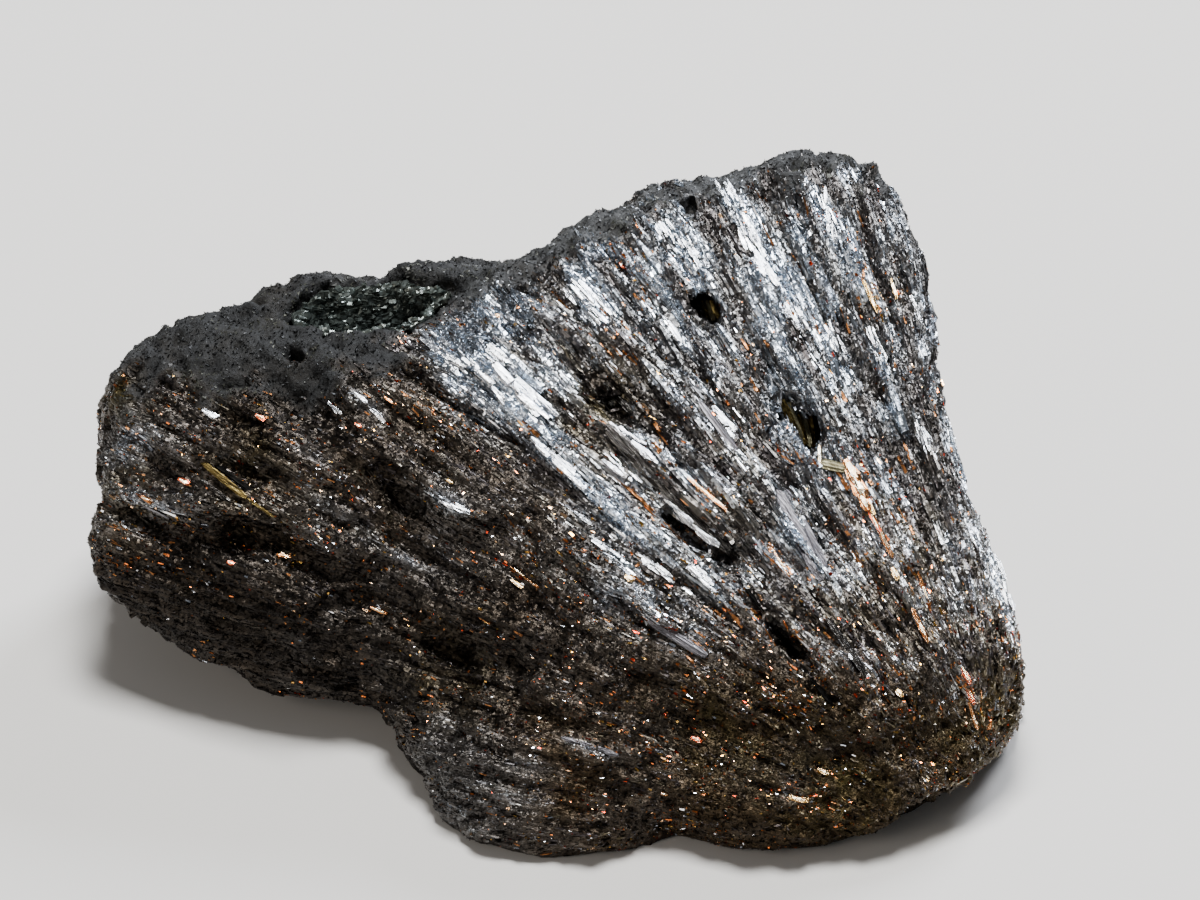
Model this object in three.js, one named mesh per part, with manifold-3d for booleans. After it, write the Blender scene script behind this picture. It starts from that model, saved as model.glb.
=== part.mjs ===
// Stibnite specimen: one mass of radiating stibnite blades, broken from a vein, resting on a flat base.
// The blades fan out from one point low at the right front. A matt crust caps the upper left, with a vug
// in it that small crystals line. Units are millimetres, +Z is up, and the display side faces -Y.
import * as THREE from "three";
import { mergeVertices } from "three/addons/utils/BufferGeometryUtils.js";
import { ImprovedNoise } from "three/addons/math/ImprovedNoise.js";
import Module from "manifold-3d";

const wasm = await Module();
wasm.setup();

// ---- driving dimensions ----

// The display frame: u to the right, v up the sight plane, w towards a viewer who looks down at this angle.
const SIGHT_ELEVATION = THREE.MathUtils.degToRad(38);

// Outline of the mass in the sight plane, as (u, v), anticlockwise from its upper left corner.
const OUTLINE = [
  [-34.9, 4.9], [-35.4, 0.0], [-34.9, -3.0], [-35.4, -5.5], [-35.2, -10.2], [-32.6, -12.3],
  [-28.0, -15.3], [-25.0, -17.2], [-16.4, -18.4], [-14.4, -20.8], [-12.2, -23.2], [-11.2, -26.2],
  [-9.6, -28.2], [-3.7, -28.9], [0.7, -27.5], [3.5, -27.2], [4.7, -26.3], [6.6, -27.4],
  [11.9, -27.8], [18.2, -26.7], [23.4, -24.0], [25.6, -22.6], [28.2, -21.2], [29.7, -18.5],
  [29.3, -15.4], [28.3, -10.8], [26.5, -5.2], [24.2, 0.4], [23.6, 4.7], [23.4, 9.5],
  [23.0, 14.5], [21.2, 18.4], [19.8, 20.7], [16.8, 21.8], [14.0, 21.5], [12.3, 21.0],
  [10.6, 19.6], [6.7, 19.0], [4.5, 19.2], [2.3, 17.4], [-2.2, 15.8], [-4.6, 13.4],
  [-9.8, 13.0], [-13.9, 12.8], [-15.4, 12.2], [-18.6, 12.2], [-21.2, 12.7], [-25.6, 10.9],
  [-29.0, 9.4], [-32.4, 7.1],
];
const OUTLINE_MIDDLE = [0, -3.5];

// Relief of the side that a viewer sees, as overlapping facets: each is a plane through at = (u, v, w)
// that climbs towards the viewer by rise = (per mm of u, per mm of v), and fades out over its reach.
const FACETS = [
  { name: "fan, top", at: [15.4, 15.4, 27.5], rise: [-0.05, -0.45], reach: 8 },
  { name: "fan, middle", at: [14, 4.9, 32.4], rise: [-0.08, -0.42], reach: 9 },
  { name: "fan, right", at: [21, 2.1, 32.5], rise: [-0.25, -0.35], reach: 6 },
  { name: "fan, left", at: [3, 8.4, 31.2], rise: [-0.04, -0.45], reach: 8 },
  { name: "saddle", at: [-4.9, 11.2, 29], rise: [0.05, -0.6], reach: 5 },
  { name: "ridge, upper", at: [-5.6, 5.4, 32.4], rise: [-0.02, -0.42], reach: 4.5 },
  { name: "ridge, middle", at: [1, -2.8, 36], rise: [0, -0.4], reach: 5.5 },
  { name: "ridge, lower", at: [5, -10, 38.8], rise: [0.1, -0.22], reach: 5 },
  { name: "fan, foot", at: [12.2, -7.7, 37.8], rise: [-0.05, -0.38], reach: 7 },
  { name: "fan, right foot", at: [23.1, -10.5, 36.8], rise: [-0.3, -0.25], reach: 7 },
  { name: "right corner", at: [26.6, -18.2, 36.6], rise: [-0.35, 0.1], reach: 5 },
  { name: "waist", at: [8, -17.5, 39], rise: [0.03, 0.12], reach: 5 },
  { name: "right toe", at: [14, -23.8, 39.3], rise: [-0.03, 0.3], reach: 6 },
  { name: "notch", at: [4.8, -26.4, 36.6], rise: [0, 0.6], reach: 2.2 },
  { name: "left toe", at: [-2.2, -22.4, 38.8], rise: [0.12, 0.1], reach: 5.2 },
  { name: "left toe, flank", at: [-9.2, -23.5, 36.6], rise: [0.75, 0.1], reach: 3.2 },
  { name: "gully", at: [-8.6, -14.2, 34.6], rise: [0.45, 0.1], reach: 4.5 },
  { name: "left face, right", at: [-9.5, -5.5, 34], rise: [0.42, 0.12], reach: 5.5 },
  { name: "left face, middle", at: [-19.5, -5, 33.2], rise: [0.14, 0.2], reach: 7 },
  { name: "left face, undercut", at: [-22.5, -13, 30.4], rise: [0.12, 0.55], reach: 6 },
  { name: "left end, upper", at: [-32.2, -1, 29.2], rise: [0.5, -0.1], reach: 5 },
  { name: "left end, lower", at: [-32.4, -8.6, 28.4], rise: [0.45, 0.35], reach: 5 },
  { name: "cap, left", at: [-29, 6, 27.8], rise: [0.15, -0.8], reach: 5 },
  { name: "cap, middle", at: [-22.4, 8, 27.4], rise: [0.02, -1], reach: 6 },
  { name: "cap, right", at: [-13, 10, 27.2], rise: [0, -0.85], reach: 5 },
  { name: "brow", at: [-18.4, 3, 32.2], rise: [0.1, -0.25], reach: 4.5 },
];
const FACET_SHARPNESS = 1.5;

// Lumps on that side, and hollows where the height is negative: each an oval of the given half lengths at
// (u, v), with its first axis turned so many degrees up from level.
const MOUNDS = [
  { name: "hollow under the brow", at: [-21.3, 2.8], size: [4.8, 1.9], height: -1.4, turn: -8 },
  { name: "lump in the brow", at: [-15.2, 4.2], size: [3.2, 1.8], height: 0.8, turn: 10 },
  { name: "trough beside the ridge", at: [-6.8, -0.6], size: [5.6, 1.9], height: -1.2, turn: -50 },
  { name: "ledge in the left end", at: [-28.7, -3.7], size: [6.6, 1.2], height: 1.1, turn: -6 },
  { name: "hollow under the ledge", at: [-27, -5.8], size: [5, 1.3], height: -1.1, turn: -8 },
  { name: "left peak", at: [-11, -3.1], size: [2.8, 1.5], height: 1.2, turn: -60 },
  { name: "hollow beside the peak", at: [-14.2, -3.6], size: [1.9, 1.4], height: -1, turn: 0 },
  { name: "lump below the peak", at: [-8.9, -7.4], size: [3.4, 1.7], height: 0.7, turn: -30 },
  { name: "furrow in the left face", at: [-20, -8], size: [6, 1.3], height: -0.8, turn: -30 },
  { name: "rib in the left face", at: [-22, -10.4], size: [6, 1.2], height: 0.6, turn: -28 },
  { name: "hollow above the gully", at: [-11, -13.6], size: [2.4, 1.5], height: -1, turn: -20 },
  { name: "shelf in the gully", at: [-8.8, -19.8], size: [2, 2.2], height: 0.7, turn: 0 },
  { name: "trough above the left toe", at: [-2.8, -17.3], size: [4.2, 1.4], height: -1, turn: -22 },
  { name: "rib on the left toe", at: [-0.7, -20.7], size: [3.2, 1.2], height: 0.9, turn: -38 },
  { name: "cleft between the toes", at: [4.7, -22.4], size: [3.2, 1.5], height: -1.6, turn: 75 },
  { name: "lump on the right toe", at: [9.4, -24.2], size: [2.8, 1.6], height: 0.6, turn: 0 },
  { name: "trough under the corner", at: [19.6, -20.4], size: [6, 1.3], height: -1.1, turn: 4 },
  { name: "rib on the foot", at: [6.4, -13.2], size: [5, 1.5], height: 0.8, turn: -48 },
  { name: "trough on the foot", at: [3.3, -16], size: [3.4, 1.3], height: -0.9, turn: -38 },
  { name: "trough in the fan", at: [10.6, 3.4], size: [7, 1.4], height: -0.9, turn: -62 },
  { name: "crease in the fan", at: [18.6, 6.4], size: [7, 1.3], height: -0.8, turn: -80 },
  { name: "lump on the crest", at: [3.6, 15.4], size: [3, 1.5], height: 0.6, turn: 20 },
  { name: "lump on the cap", at: [-27.6, 6.6], size: [2.6, 1.4], height: 0.6, turn: 35 },
  { name: "hollow in the cap", at: [-24.4, 8.6], size: [3, 1.4], height: -0.6, turn: 15 },
];

// The faces that only show from behind or below, as a point and an outward normal in the part's own axes.
const BACK_FACES = [
  { name: "back", at: [0, -0.5, 16], normal: [0.05, 1, 0.1] },
  { name: "back left", at: [-22, -6, 12], normal: [-0.45, 1, 0.15] },
  { name: "back right", at: [22, -12, 10], normal: [1, 0.55, -0.1] },
  { name: "underside, left", at: [-15, -22, 0], normal: [-0.25, 0.03, -1] },
];

const FACE_ROUNDING = 4.6;
const RIM_ROUNDING = 2.2;

// The point that every blade grows away from, in (u, v, w).
const SPRAY_APEX = [33.6, -31.5, 46];

// Blades that stand out of the mass, and the slots and pits between them, at (u, v) on the display side.
// A turn, in degrees, swings one off the spray's own direction there; lift raises a blade out of the face.
const LARGE_BLADES = [
  { name: "long blade", at: [4.6, -2.6], length: 13, width: 1.9, thickness: 1.6, lift: 0.5, turn: -3 },
  { name: "flat blade", at: [13.9, -6.1], length: 10.5, width: 2.3, thickness: 1.2, lift: 0.25, turn: 12 },
  { name: "copper blade", at: [18.9, -3.9], length: 8.6, width: 1, thickness: 1, lift: 0.3, turn: 6 },
  { name: "bright blade", at: [-6.6, 4.4], length: 8, width: 1.7, thickness: 1.2, lift: 0.4, turn: 6 },
  { name: "bright tip", at: [-3.1, -1.1], length: 5, width: 0.9, thickness: 0.9, lift: 0.3, turn: 4 },
  { name: "shoulder blade", at: [-0.9, 10.5], length: 5, width: 1.5, thickness: 1, lift: 0.3, turn: -4 },
  { name: "crest blade", at: [16.2, 15.6], length: 7, width: 1, thickness: 1, lift: 0.35, turn: 4 },
  { name: "fan blade", at: [9.4, 14.2], length: 8, width: 1.2, thickness: 1, lift: 0.3, turn: 0 },
  { name: "edge blade", at: [28.1, -9.9], length: 6, width: 0.9, thickness: 0.9, lift: 0.3, turn: -5 },
  { name: "corner blade", at: [25.5, -16], length: 4.6, width: 0.9, thickness: 0.8, lift: 0.2, turn: -4 },
  { name: "toe blade", at: [2, -20], length: 5, width: 1.2, thickness: 0.9, lift: 0.25, turn: -8 },
  { name: "left blade", at: [-25.4, -0.4], length: 7, width: 1, thickness: 0.9, lift: 0.3, turn: 8 },
];
const SLOTS = [
  { name: "slot beside the ridge", at: [0.5, 4.1], length: 6, width: 1.3, depth: 1.8, turn: 4 },
  { name: "channel under the long blade", at: [7, -5.9], length: 7.6, width: 1.6, depth: 2, turn: -10 },
  { name: "furrow above the long blade", at: [3.4, 1.6], length: 9, width: 0.9, depth: 1.1, turn: -4 },
  { name: "long groove", at: [13.4, -14], length: 12, width: 1.1, depth: 1.7, turn: 14 },
  { name: "notch above the ledge", at: [14.3, 1.2], length: 5.6, width: 2, depth: 2.2, turn: -3 },
  { name: "fan furrow", at: [6, 5.6], length: 7, width: 1, depth: 1.2, turn: -2 },
  { name: "fan pit", at: [7.5, 9.8], length: 3, width: 2.1, depth: 2, turn: -20 },
  { name: "crest pit", at: [6.1, 17.4], length: 1.6, width: 1.5, depth: 1.8, turn: 0 },
  { name: "crest slot", at: [13.9, 18.2], length: 2.4, width: 1, depth: 1.6, turn: 0 },
  { name: "cap pit", at: [-21.7, 6.9], length: 2.4, width: 1.7, depth: 1.8, turn: 0 },
  { name: "recess in the left end", at: [-31.8, -4.9], length: 4.4, width: 1.5, depth: 1.8, turn: 0 },
  { name: "dimple in the left face", at: [-24.8, 1.8], length: 3, width: 1.8, depth: 1.2, turn: 0 },
];

// The vug in the cap, and the crust of small crystals that lines it.
const VUG = { at: [-16.5, 10.5], radii: [5.7, 3.5, 5] };
const VUG_UNEVENNESS = 0.5;
const VUG_GAP = 0.3;
const CRUST_THICKNESS = 0.7;
const CRUST_INSET = 0.6;
const CRUST_CRYSTALS = 22;
const CRUST_CRYSTAL = { length: 1.5, width: 1.2 };

// Small blades, fused all over the faces that the spray runs along.
const SMALL_BLADES = 52;
const SMALL_BLADE = { length: [6, 15], width: [1, 2.6], thickness: [0.9, 1.5], lift: [0.05, 0.3], turn: 5 };

const SURFACE_DETAIL = 15;

// ---- the display frame ----

const RIGHT = new THREE.Vector3(1, 0, 0);
const UP_SIGHT = new THREE.Vector3(0, Math.sin(SIGHT_ELEVATION), Math.cos(SIGHT_ELEVATION));
const TO_VIEWER = new THREE.Vector3(0, -Math.cos(SIGHT_ELEVATION), Math.sin(SIGHT_ELEVATION));

const fromDisplay = ([u, v, w]) =>
  new THREE.Vector3()
    .addScaledVector(RIGHT, u)
    .addScaledVector(UP_SIGHT, v)
    .addScaledVector(TO_VIEWER, w);

const APEX = fromDisplay(SPRAY_APEX);

const toDisplay = (p) => [p.dot(RIGHT), p.dot(UP_SIGHT), p.dot(TO_VIEWER)];

// ---- the form, as a distance that is negative inside the mass ----

const smoothMax = (a, b, blend) => {
  const near = Math.max(blend - Math.abs(a - b), 0) / blend;
  return Math.max(a, b) + (near * near * blend) / 4;
};

const outlineCurve = new THREE.CatmullRomCurve3(
  OUTLINE.map(([u, v]) => new THREE.Vector3(u, v, 0)),
  true,
  "centripetal",
);

// The outline's reach from its middle, for each of REACH_STEPS directions.
const REACH_STEPS = 720;
const reachTable = new Array(REACH_STEPS).fill(0);
for (const point of outlineCurve.getPoints(REACH_STEPS * 6)) {
  const [u, v] = [point.x - OUTLINE_MIDDLE[0], point.y - OUTLINE_MIDDLE[1]];
  const turn = (Math.atan2(v, u) / (2 * Math.PI) + 1) % 1;
  const step = Math.floor(turn * REACH_STEPS) % REACH_STEPS;
  reachTable[step] = Math.max(reachTable[step], Math.hypot(u, v));
}
for (let step = 0; step < REACH_STEPS; step++) {
  if (!reachTable[step]) reachTable[step] = reachTable[(step + REACH_STEPS - 1) % REACH_STEPS];
}

function outsideOutline(u, v) {
  const [du, dv] = [u - OUTLINE_MIDDLE[0], v - OUTLINE_MIDDLE[1]];
  const turn = ((Math.atan2(dv, du) / (2 * Math.PI) + 1) % 1) * REACH_STEPS;
  const step = Math.floor(turn) % REACH_STEPS;
  const share = turn - Math.floor(turn);
  const reach = reachTable[step] * (1 - share) + reachTable[(step + 1) % REACH_STEPS] * share;
  return Math.hypot(du, dv) - reach;
}

function moundsAt(u, v) {
  let height = 0;
  for (const { at, size, height: peak, turn } of MOUNDS) {
    const angle = THREE.MathUtils.degToRad(turn);
    const [du, dv] = [u - at[0], v - at[1]];
    const along = (du * Math.cos(angle) + dv * Math.sin(angle)) / size[0];
    const across = (dv * Math.cos(angle) - du * Math.sin(angle)) / size[1];
    height += peak * Math.exp(-along * along - across * across);
  }
  return height;
}

// How far the relief stands towards the viewer at (u, v): the facets' planes, weighted by how near each is,
// with the mounds on top.
function relief(u, v) {
  let total = 0;
  let weights = 0;
  for (const { at, rise, reach } of FACETS) {
    const [du, dv] = [u - at[0], v - at[1]];
    const weight = Math.exp((-FACET_SHARPNESS * (du * du + dv * dv)) / (reach * reach)) + 1e-12;
    total += weight * (at[2] + rise[0] * du + rise[1] * dv);
    weights += weight;
  }
  return total / weights + moundsAt(u, v);
}

const RELIEF_STEEPNESS = 0.5;

const perlin = new ImprovedNoise();

// Broad lumps and smaller knobs everywhere, and ribs that run along the blades: all push the surface in
// or out.
const LUMP_SIZE = 9;
const LUMP_HEIGHT = 0.6;
const KNOB_SIZE = 4;
const KNOB_HEIGHT = 0.5;
const RIB_WIDTH = 0.055;
const RIB_LENGTH = 26;
const RIB_HEIGHT = 0.85;

// The mass broke off its vein behind and below, where it is this much smoother: the change comes between
// these depths under the relief.
const BREAK_DEPTH = [5, 13];
const BREAK_UNEVENNESS = 0.15;

function unevenness(p) {
  const lump = perlin.noise(p.x / LUMP_SIZE, p.y / LUMP_SIZE + 7.3, p.z / LUMP_SIZE);
  const knob = perlin.noise(p.x / KNOB_SIZE, p.y / KNOB_SIZE + 2.1, p.z / KNOB_SIZE);
  const ray = p.clone().sub(APEX);
  const along = ray.length() / RIB_LENGTH;
  ray.normalize().divideScalar(RIB_WIDTH);
  const rib = perlin.noise(ray.x + along, ray.y, ray.z - along);
  return LUMP_HEIGHT * lump + KNOB_HEIGHT * knob + RIB_HEIGHT * rib;
}

function outsideMass(p) {
  const [u, v, w] = toDisplay(p);
  let far = (w - relief(u, v)) / Math.hypot(1, RELIEF_STEEPNESS);
  for (const { at, normal } of BACK_FACES) {
    const out = new THREE.Vector3(...normal).normalize();
    far = smoothMax(far, p.clone().sub(new THREE.Vector3(...at)).dot(out), FACE_ROUNDING);
  }
  far = smoothMax(far, outsideOutline(u, v), RIM_ROUNDING);
  const behind = THREE.MathUtils.smoothstep(relief(u, v) - w, BREAK_DEPTH[0], BREAK_DEPTH[1]);
  return far + unevenness(p) * THREE.MathUtils.lerp(1, BREAK_UNEVENNESS, behind);
}

// ---- the solid ----

const CENTRE = fromDisplay([-2, -4, 24]);
const BALL_STRETCH = new THREE.Vector3(1.5, 1.05, 1);
const FARTHEST = 62;
const MARCH_STEP = 0.5;

function surfaceAlong(direction, inset) {
  const at = (t) => outsideMass(CENTRE.clone().addScaledVector(direction, t)) + inset;
  let outer = FARTHEST;
  while (outer > 0 && at(outer - MARCH_STEP) > 0) outer -= MARCH_STEP;
  let inner = outer - MARCH_STEP;
  for (let halving = 0; halving < 12; halving++) {
    const middle = (inner + outer) / 2;
    if (at(middle) > 0) outer = middle;
    else inner = middle;
  }
  return outer;
}

function positionsOnly(geometry) {
  const bare = geometry.clone();
  bare.deleteAttribute("normal");
  bare.deleteAttribute("uv");
  return mergeVertices(bare, 1e-4);
}

function solidOf(geometry) {
  const { attributes, index } = positionsOnly(geometry);
  return new wasm.Manifold(
    new wasm.Mesh({
      numProp: 3,
      vertProperties: new Float32Array(attributes.position.array),
      triVerts: new Uint32Array(index.array),
    }),
  );
}

// Cuts can leave crumbs: the piece is the largest body.
function largestBody(solid) {
  return solid.decompose().reduce((best, body) => (body.volume() > best.volume() ? body : best));
}

function geometryOf(solid) {
  const { vertProperties, triVerts, numProp } = solid.getMesh();
  const points = new Float32Array((vertProperties.length / numProp) * 3);
  for (let i = 0; i < points.length / 3; i++) {
    points.set(vertProperties.subarray(i * numProp, i * numProp + 3), i * 3);
  }
  return new THREE.BufferGeometry()
    .setAttribute("position", new THREE.BufferAttribute(points, 3))
    .setIndex(new THREE.BufferAttribute(new Uint32Array(triVerts), 1));
}

function massGeometry(detail, inset) {
  const ball = positionsOnly(new THREE.IcosahedronGeometry(1, detail));
  const place = ball.getAttribute("position");
  for (let i = 0; i < place.count; i++) {
    const direction = new THREE.Vector3().fromBufferAttribute(place, i).multiply(BALL_STRETCH).normalize();
    const p = CENTRE.clone().addScaledVector(direction, surfaceAlong(direction, inset));
    place.setXYZ(i, p.x, p.y, p.z);
  }
  return ball;
}

// ---- blades, slots and the vug ----

// Where the sight line at (u, v) meets the mass.
function onSurface([u, v]) {
  let [high, low] = [FARTHEST, 0];
  while (high - low > 0.01) {
    const middle = (high + low) / 2;
    if (outsideMass(fromDisplay([u, v, middle])) > 0) high = middle;
    else low = middle;
  }
  return fromDisplay([u, v, high]);
}

const PROBE = 0.4;

function outwardAt(p) {
  const beside = (axis, distance) => outsideMass(p.clone().addScaledVector(axis, distance));
  const slope = (axis) => beside(axis, PROBE) - beside(axis, -PROBE);
  const axes = [new THREE.Vector3(1, 0, 0), new THREE.Vector3(0, 1, 0), new THREE.Vector3(0, 0, 1)];
  return new THREE.Vector3(...axes.map(slope)).normalize();
}

// A frame on the surface: X along the blades, away from the apex, and Z out of the face.
function bladeFrame(p, outward, turn) {
  const along = p.clone().sub(APEX).projectOnPlane(outward).normalize();
  along.applyAxisAngle(outward, THREE.MathUtils.degToRad(-turn));
  const across = outward.clone().cross(along);
  return new THREE.Matrix4().makeBasis(along, across, outward).setPosition(p);
}

// A flat six-sided prism along X. The far end tapers away; the end by the apex does too, or is snapped off.
function bladeGeometry({ length, width, thickness, snapped }) {
  const [start, end] = [-length / 2, length / 2];
  const nearEnd = snapped ? [[0, start], [0.44, start]] : [[0, start], [0.5, start + length * 0.3]];
  const profile = [...nearEnd, [0.5, end - length * 0.3], [0, end]];
  const prism = new THREE.LatheGeometry(profile.map(([r, y]) => new THREE.Vector2(r, y)), 6, Math.PI / 6);
  return prism.rotateZ(-Math.PI / 2).scale(1, width, thickness);
}

function bladeSolid(blade, p) {
  const outward = outwardAt(p);
  const middle = p.clone().addScaledVector(outward, blade.lift - blade.thickness / 3);
  return solidOf(bladeGeometry(blade).applyMatrix4(bladeFrame(middle, outward, blade.turn)));
}

// A slot is a lens with a ragged edge.
const RAGGEDNESS = 0.9;

function slotSolid({ at, length, width, depth, turn }) {
  const p = onSurface(at);
  const lens = positionsOnly(new THREE.OctahedronGeometry(1, 1));
  const place = lens.getAttribute("position");
  for (let i = 0; i < place.count; i++) {
    const out = new THREE.Vector3().fromBufferAttribute(place, i);
    const ragged = 1 + RAGGEDNESS * perlin.noise(out.x * 1.7 + at[0], out.y * 1.7 + at[1], out.z * 1.7);
    place.setXYZ(i, (out.x * ragged * length) / 2, (out.y * ragged * width) / 2, out.z * ragged * depth);
  }
  return solidOf(lens.applyMatrix4(bladeFrame(p, outwardAt(p), turn)));
}

let seed = 20;
function random() {
  seed = (seed * 1664525 + 1013904223) % 4294967296;
  return seed / 4294967296;
}
const between = ([low, high]) => low + (high - low) * random();

// Small blades keep off the cap, and off any face that the spray runs into end on.
const CAP_EDGE = [[-36, 3.5], [-20, 3.5], [-8, 8], [0, 13], [5, 16]];
const END_ON = 0.86;
const PROUD = 0.6;

function capStartsAt(u) {
  for (let i = 1; i < CAP_EDGE.length; i++) {
    const [[u0, v0], [u1, v1]] = [CAP_EDGE[i - 1], CAP_EDGE[i]];
    if (u < u1) return v0 + ((v1 - v0) * (u - u0)) / (u1 - u0);
  }
  return Infinity;
}

function smallBlades() {
  const blades = [];
  while (blades.length < SMALL_BLADES) {
    const at = [between([-34, 29]), between([-26, 20])];
    const blade = {
      length: between(SMALL_BLADE.length),
      width: between(SMALL_BLADE.width),
      thickness: between(SMALL_BLADE.thickness),
      lift: between(SMALL_BLADE.lift),
      turn: between([-SMALL_BLADE.turn, SMALL_BLADE.turn]),
    };
    if (outsideOutline(...at) > -1 || at[1] > capStartsAt(at[0]) - 1) continue;
    const p = onSurface(at);
    const outward = outwardAt(p);
    const away = p.clone().sub(APEX).normalize();
    const along = away.clone().projectOnPlane(outward).normalize();
    const ends = [-0.5, 0.5].map((share) => p.clone().addScaledVector(along, share * blade.length));
    const proud = ends.some((end) => outsideMass(end) > PROUD);
    if (Math.abs(away.dot(outward)) < END_ON && !proud) blades.push(bladeSolid(blade, p));
  }
  return blades;
}

// The vug's wall drawn in by a gap, so that the crust can be cut between two such walls.
function vugGeometry(gap) {
  const wall = positionsOnly(new THREE.IcosahedronGeometry(1, 2));
  const place = wall.getAttribute("position");
  for (let i = 0; i < place.count; i++) {
    const out = new THREE.Vector3().fromBufferAttribute(place, i).normalize();
    const bumpy = 1 + VUG_UNEVENNESS * perlin.noise(out.x * 2.4 + 5, out.y * 2.4, out.z * 2.4);
    place.setXYZ(i, ...VUG.radii.map((radius, axis) => (radius * bumpy - gap) * out.getComponent(axis)));
  }
  const middle = onSurface(VUG.at);
  return wall.translate(middle.x, middle.y, middle.z);
}

function crustCrystal(middle) {
  const out = new THREE.Vector3(between([-1, 1]), between([-1, 1]), between([-1, 0])).normalize();
  const onWall = VUG.radii.map((radius, axis) => (radius - VUG_GAP - 0.5) * out.getComponent(axis));
  const root = new THREE.Vector3(...onWall);
  const { length, width } = CRUST_CRYSTAL;
  const crystal = new THREE.ConeGeometry(width / 2, length * between([0.6, 1]), 5, 1);
  const lean = new THREE.Vector3(between([-0.4, 0.4]), between([-0.4, 0.4]), 0.5);
  const inward = lean.sub(out).normalize();
  const coneAxis = new THREE.Vector3(0, 1, 0);
  crystal.applyQuaternion(new THREE.Quaternion().setFromUnitVectors(coneAxis, inward));
  return solidOf(crystal.translate(...root.add(middle).toArray()));
}

function vugCrust() {
  const wall = solidOf(vugGeometry(VUG_GAP));
  let crust = wall.subtract(solidOf(vugGeometry(VUG_GAP + CRUST_THICKNESS)));
  const middle = onSurface(VUG.at);
  for (let i = 0; i < CRUST_CRYSTALS; i++) crust = crust.add(crustCrystal(middle));
  return crust.intersect(wall).intersect(solidOf(massGeometry(12, CRUST_INSET)));
}

const GROUND_SIZE = 200;
const ground = new THREE.BoxGeometry(GROUND_SIZE, GROUND_SIZE, GROUND_SIZE);
ground.translate(0, 0, -GROUND_SIZE / 2);

function stibniteMass() {
  let mass = solidOf(massGeometry(SURFACE_DETAIL, 0));
  for (const blade of smallBlades()) mass = mass.add(blade);
  for (const slot of SLOTS) mass = mass.subtract(slotSolid(slot));
  for (const blade of LARGE_BLADES) {
    mass = mass.add(bladeSolid({ ...blade, snapped: true }, onSurface(blade.at)));
  }
  return mass.subtract(solidOf(vugGeometry(0))).subtract(solidOf(ground));
}

// ---- the named pieces, with the origin under the middle of the mass ----

const steel = new THREE.MeshStandardMaterial({ color: 0x5a5a5e, roughness: 0.4, metalness: 0.9 });
const dark = new THREE.MeshStandardMaterial({ color: 0x2c302e, roughness: 0.35, metalness: 0.8 });

const stibnite_mass = new THREE.Mesh(geometryOf(largestBody(stibniteMass())), steel);
const vug_crystals = new THREE.Mesh(geometryOf(largestBody(vugCrust())), dark);
stibnite_mass.name = "stibnite_mass";
vug_crystals.name = "vug_crystals";

const middle = new THREE.Box3().setFromObject(stibnite_mass).getCenter(new THREE.Vector3());
const specimen = new THREE.Group().add(stibnite_mass, vug_crystals);
for (const piece of specimen.children) piece.position.set(-middle.x, -middle.y, 0);

export default specimen;
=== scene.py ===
"""Stibnite crystal cluster: the looks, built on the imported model's frame.

The body's relief is made of bundles that fan out from one corner, some of them broken out, and thousands of
fine blades lie on them. A matt crust caps the upper left, with a vug lined by small dark crystals. Objects
are in metres with +Z up. Sizes and places in the tables are in millimetres, and are scaled by MM.
"""
import math

import bmesh
import bpy
import numpy as np
from mathutils import Matrix, Quaternion, Vector, noise
from mathutils.bvhtree import BVHTree


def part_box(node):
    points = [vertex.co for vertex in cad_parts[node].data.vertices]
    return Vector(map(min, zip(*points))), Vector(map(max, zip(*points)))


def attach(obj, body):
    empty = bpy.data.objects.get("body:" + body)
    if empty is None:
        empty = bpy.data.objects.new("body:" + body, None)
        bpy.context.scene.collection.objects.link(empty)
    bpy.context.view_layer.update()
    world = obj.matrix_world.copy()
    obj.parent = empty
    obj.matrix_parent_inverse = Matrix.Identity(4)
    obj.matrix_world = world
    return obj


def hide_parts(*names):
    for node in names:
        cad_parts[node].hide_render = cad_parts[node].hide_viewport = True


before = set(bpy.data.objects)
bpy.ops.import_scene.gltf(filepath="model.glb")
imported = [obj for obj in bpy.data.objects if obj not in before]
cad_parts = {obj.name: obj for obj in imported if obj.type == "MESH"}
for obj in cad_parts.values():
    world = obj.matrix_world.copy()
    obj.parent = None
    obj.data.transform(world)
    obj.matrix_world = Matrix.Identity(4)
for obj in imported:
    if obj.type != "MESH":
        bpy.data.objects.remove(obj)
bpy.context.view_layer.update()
MM = 0.001

# ---- the display side's own axes: u to the right, v up the sight plane, w towards the viewer, in mm ----

SIGHT_ELEVATION = math.radians(38)
DISPLAY_ORIGIN = np.array([3.07, 23.17, 0.0])
UP_SIGHT = np.array([0, math.sin(SIGHT_ELEVATION), math.cos(SIGHT_ELEVATION)])
TO_VIEWER = np.array([0, -math.cos(SIGHT_ELEVATION), math.sin(SIGHT_ELEVATION)])


def from_display(u, v, w):
    """A point of the part, in mm, from its place in the display side's axes."""
    return DISPLAY_ORIGIN + np.array([u, 0, 0]) + v * UP_SIGHT + w * TO_VIEWER


def to_display(points):
    """The places of the part's points, in mm, in the display side's axes."""
    p = points - DISPLAY_ORIGIN
    return p[:, 0], p @ UP_SIGHT, p @ TO_VIEWER


# Every blade grows away from this point, and a bundle has the width that is given for it this far out.
APEX_ON_DISPLAY = (33.6, -31.5, 46)
APEX = from_display(*APEX_ON_DISPLAY)
TRUE_WIDTH_AT = 60

# A face turned this way sends the light from above to the viewer.
FLASH = np.array([0.03, -0.41, 0.91])

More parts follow.
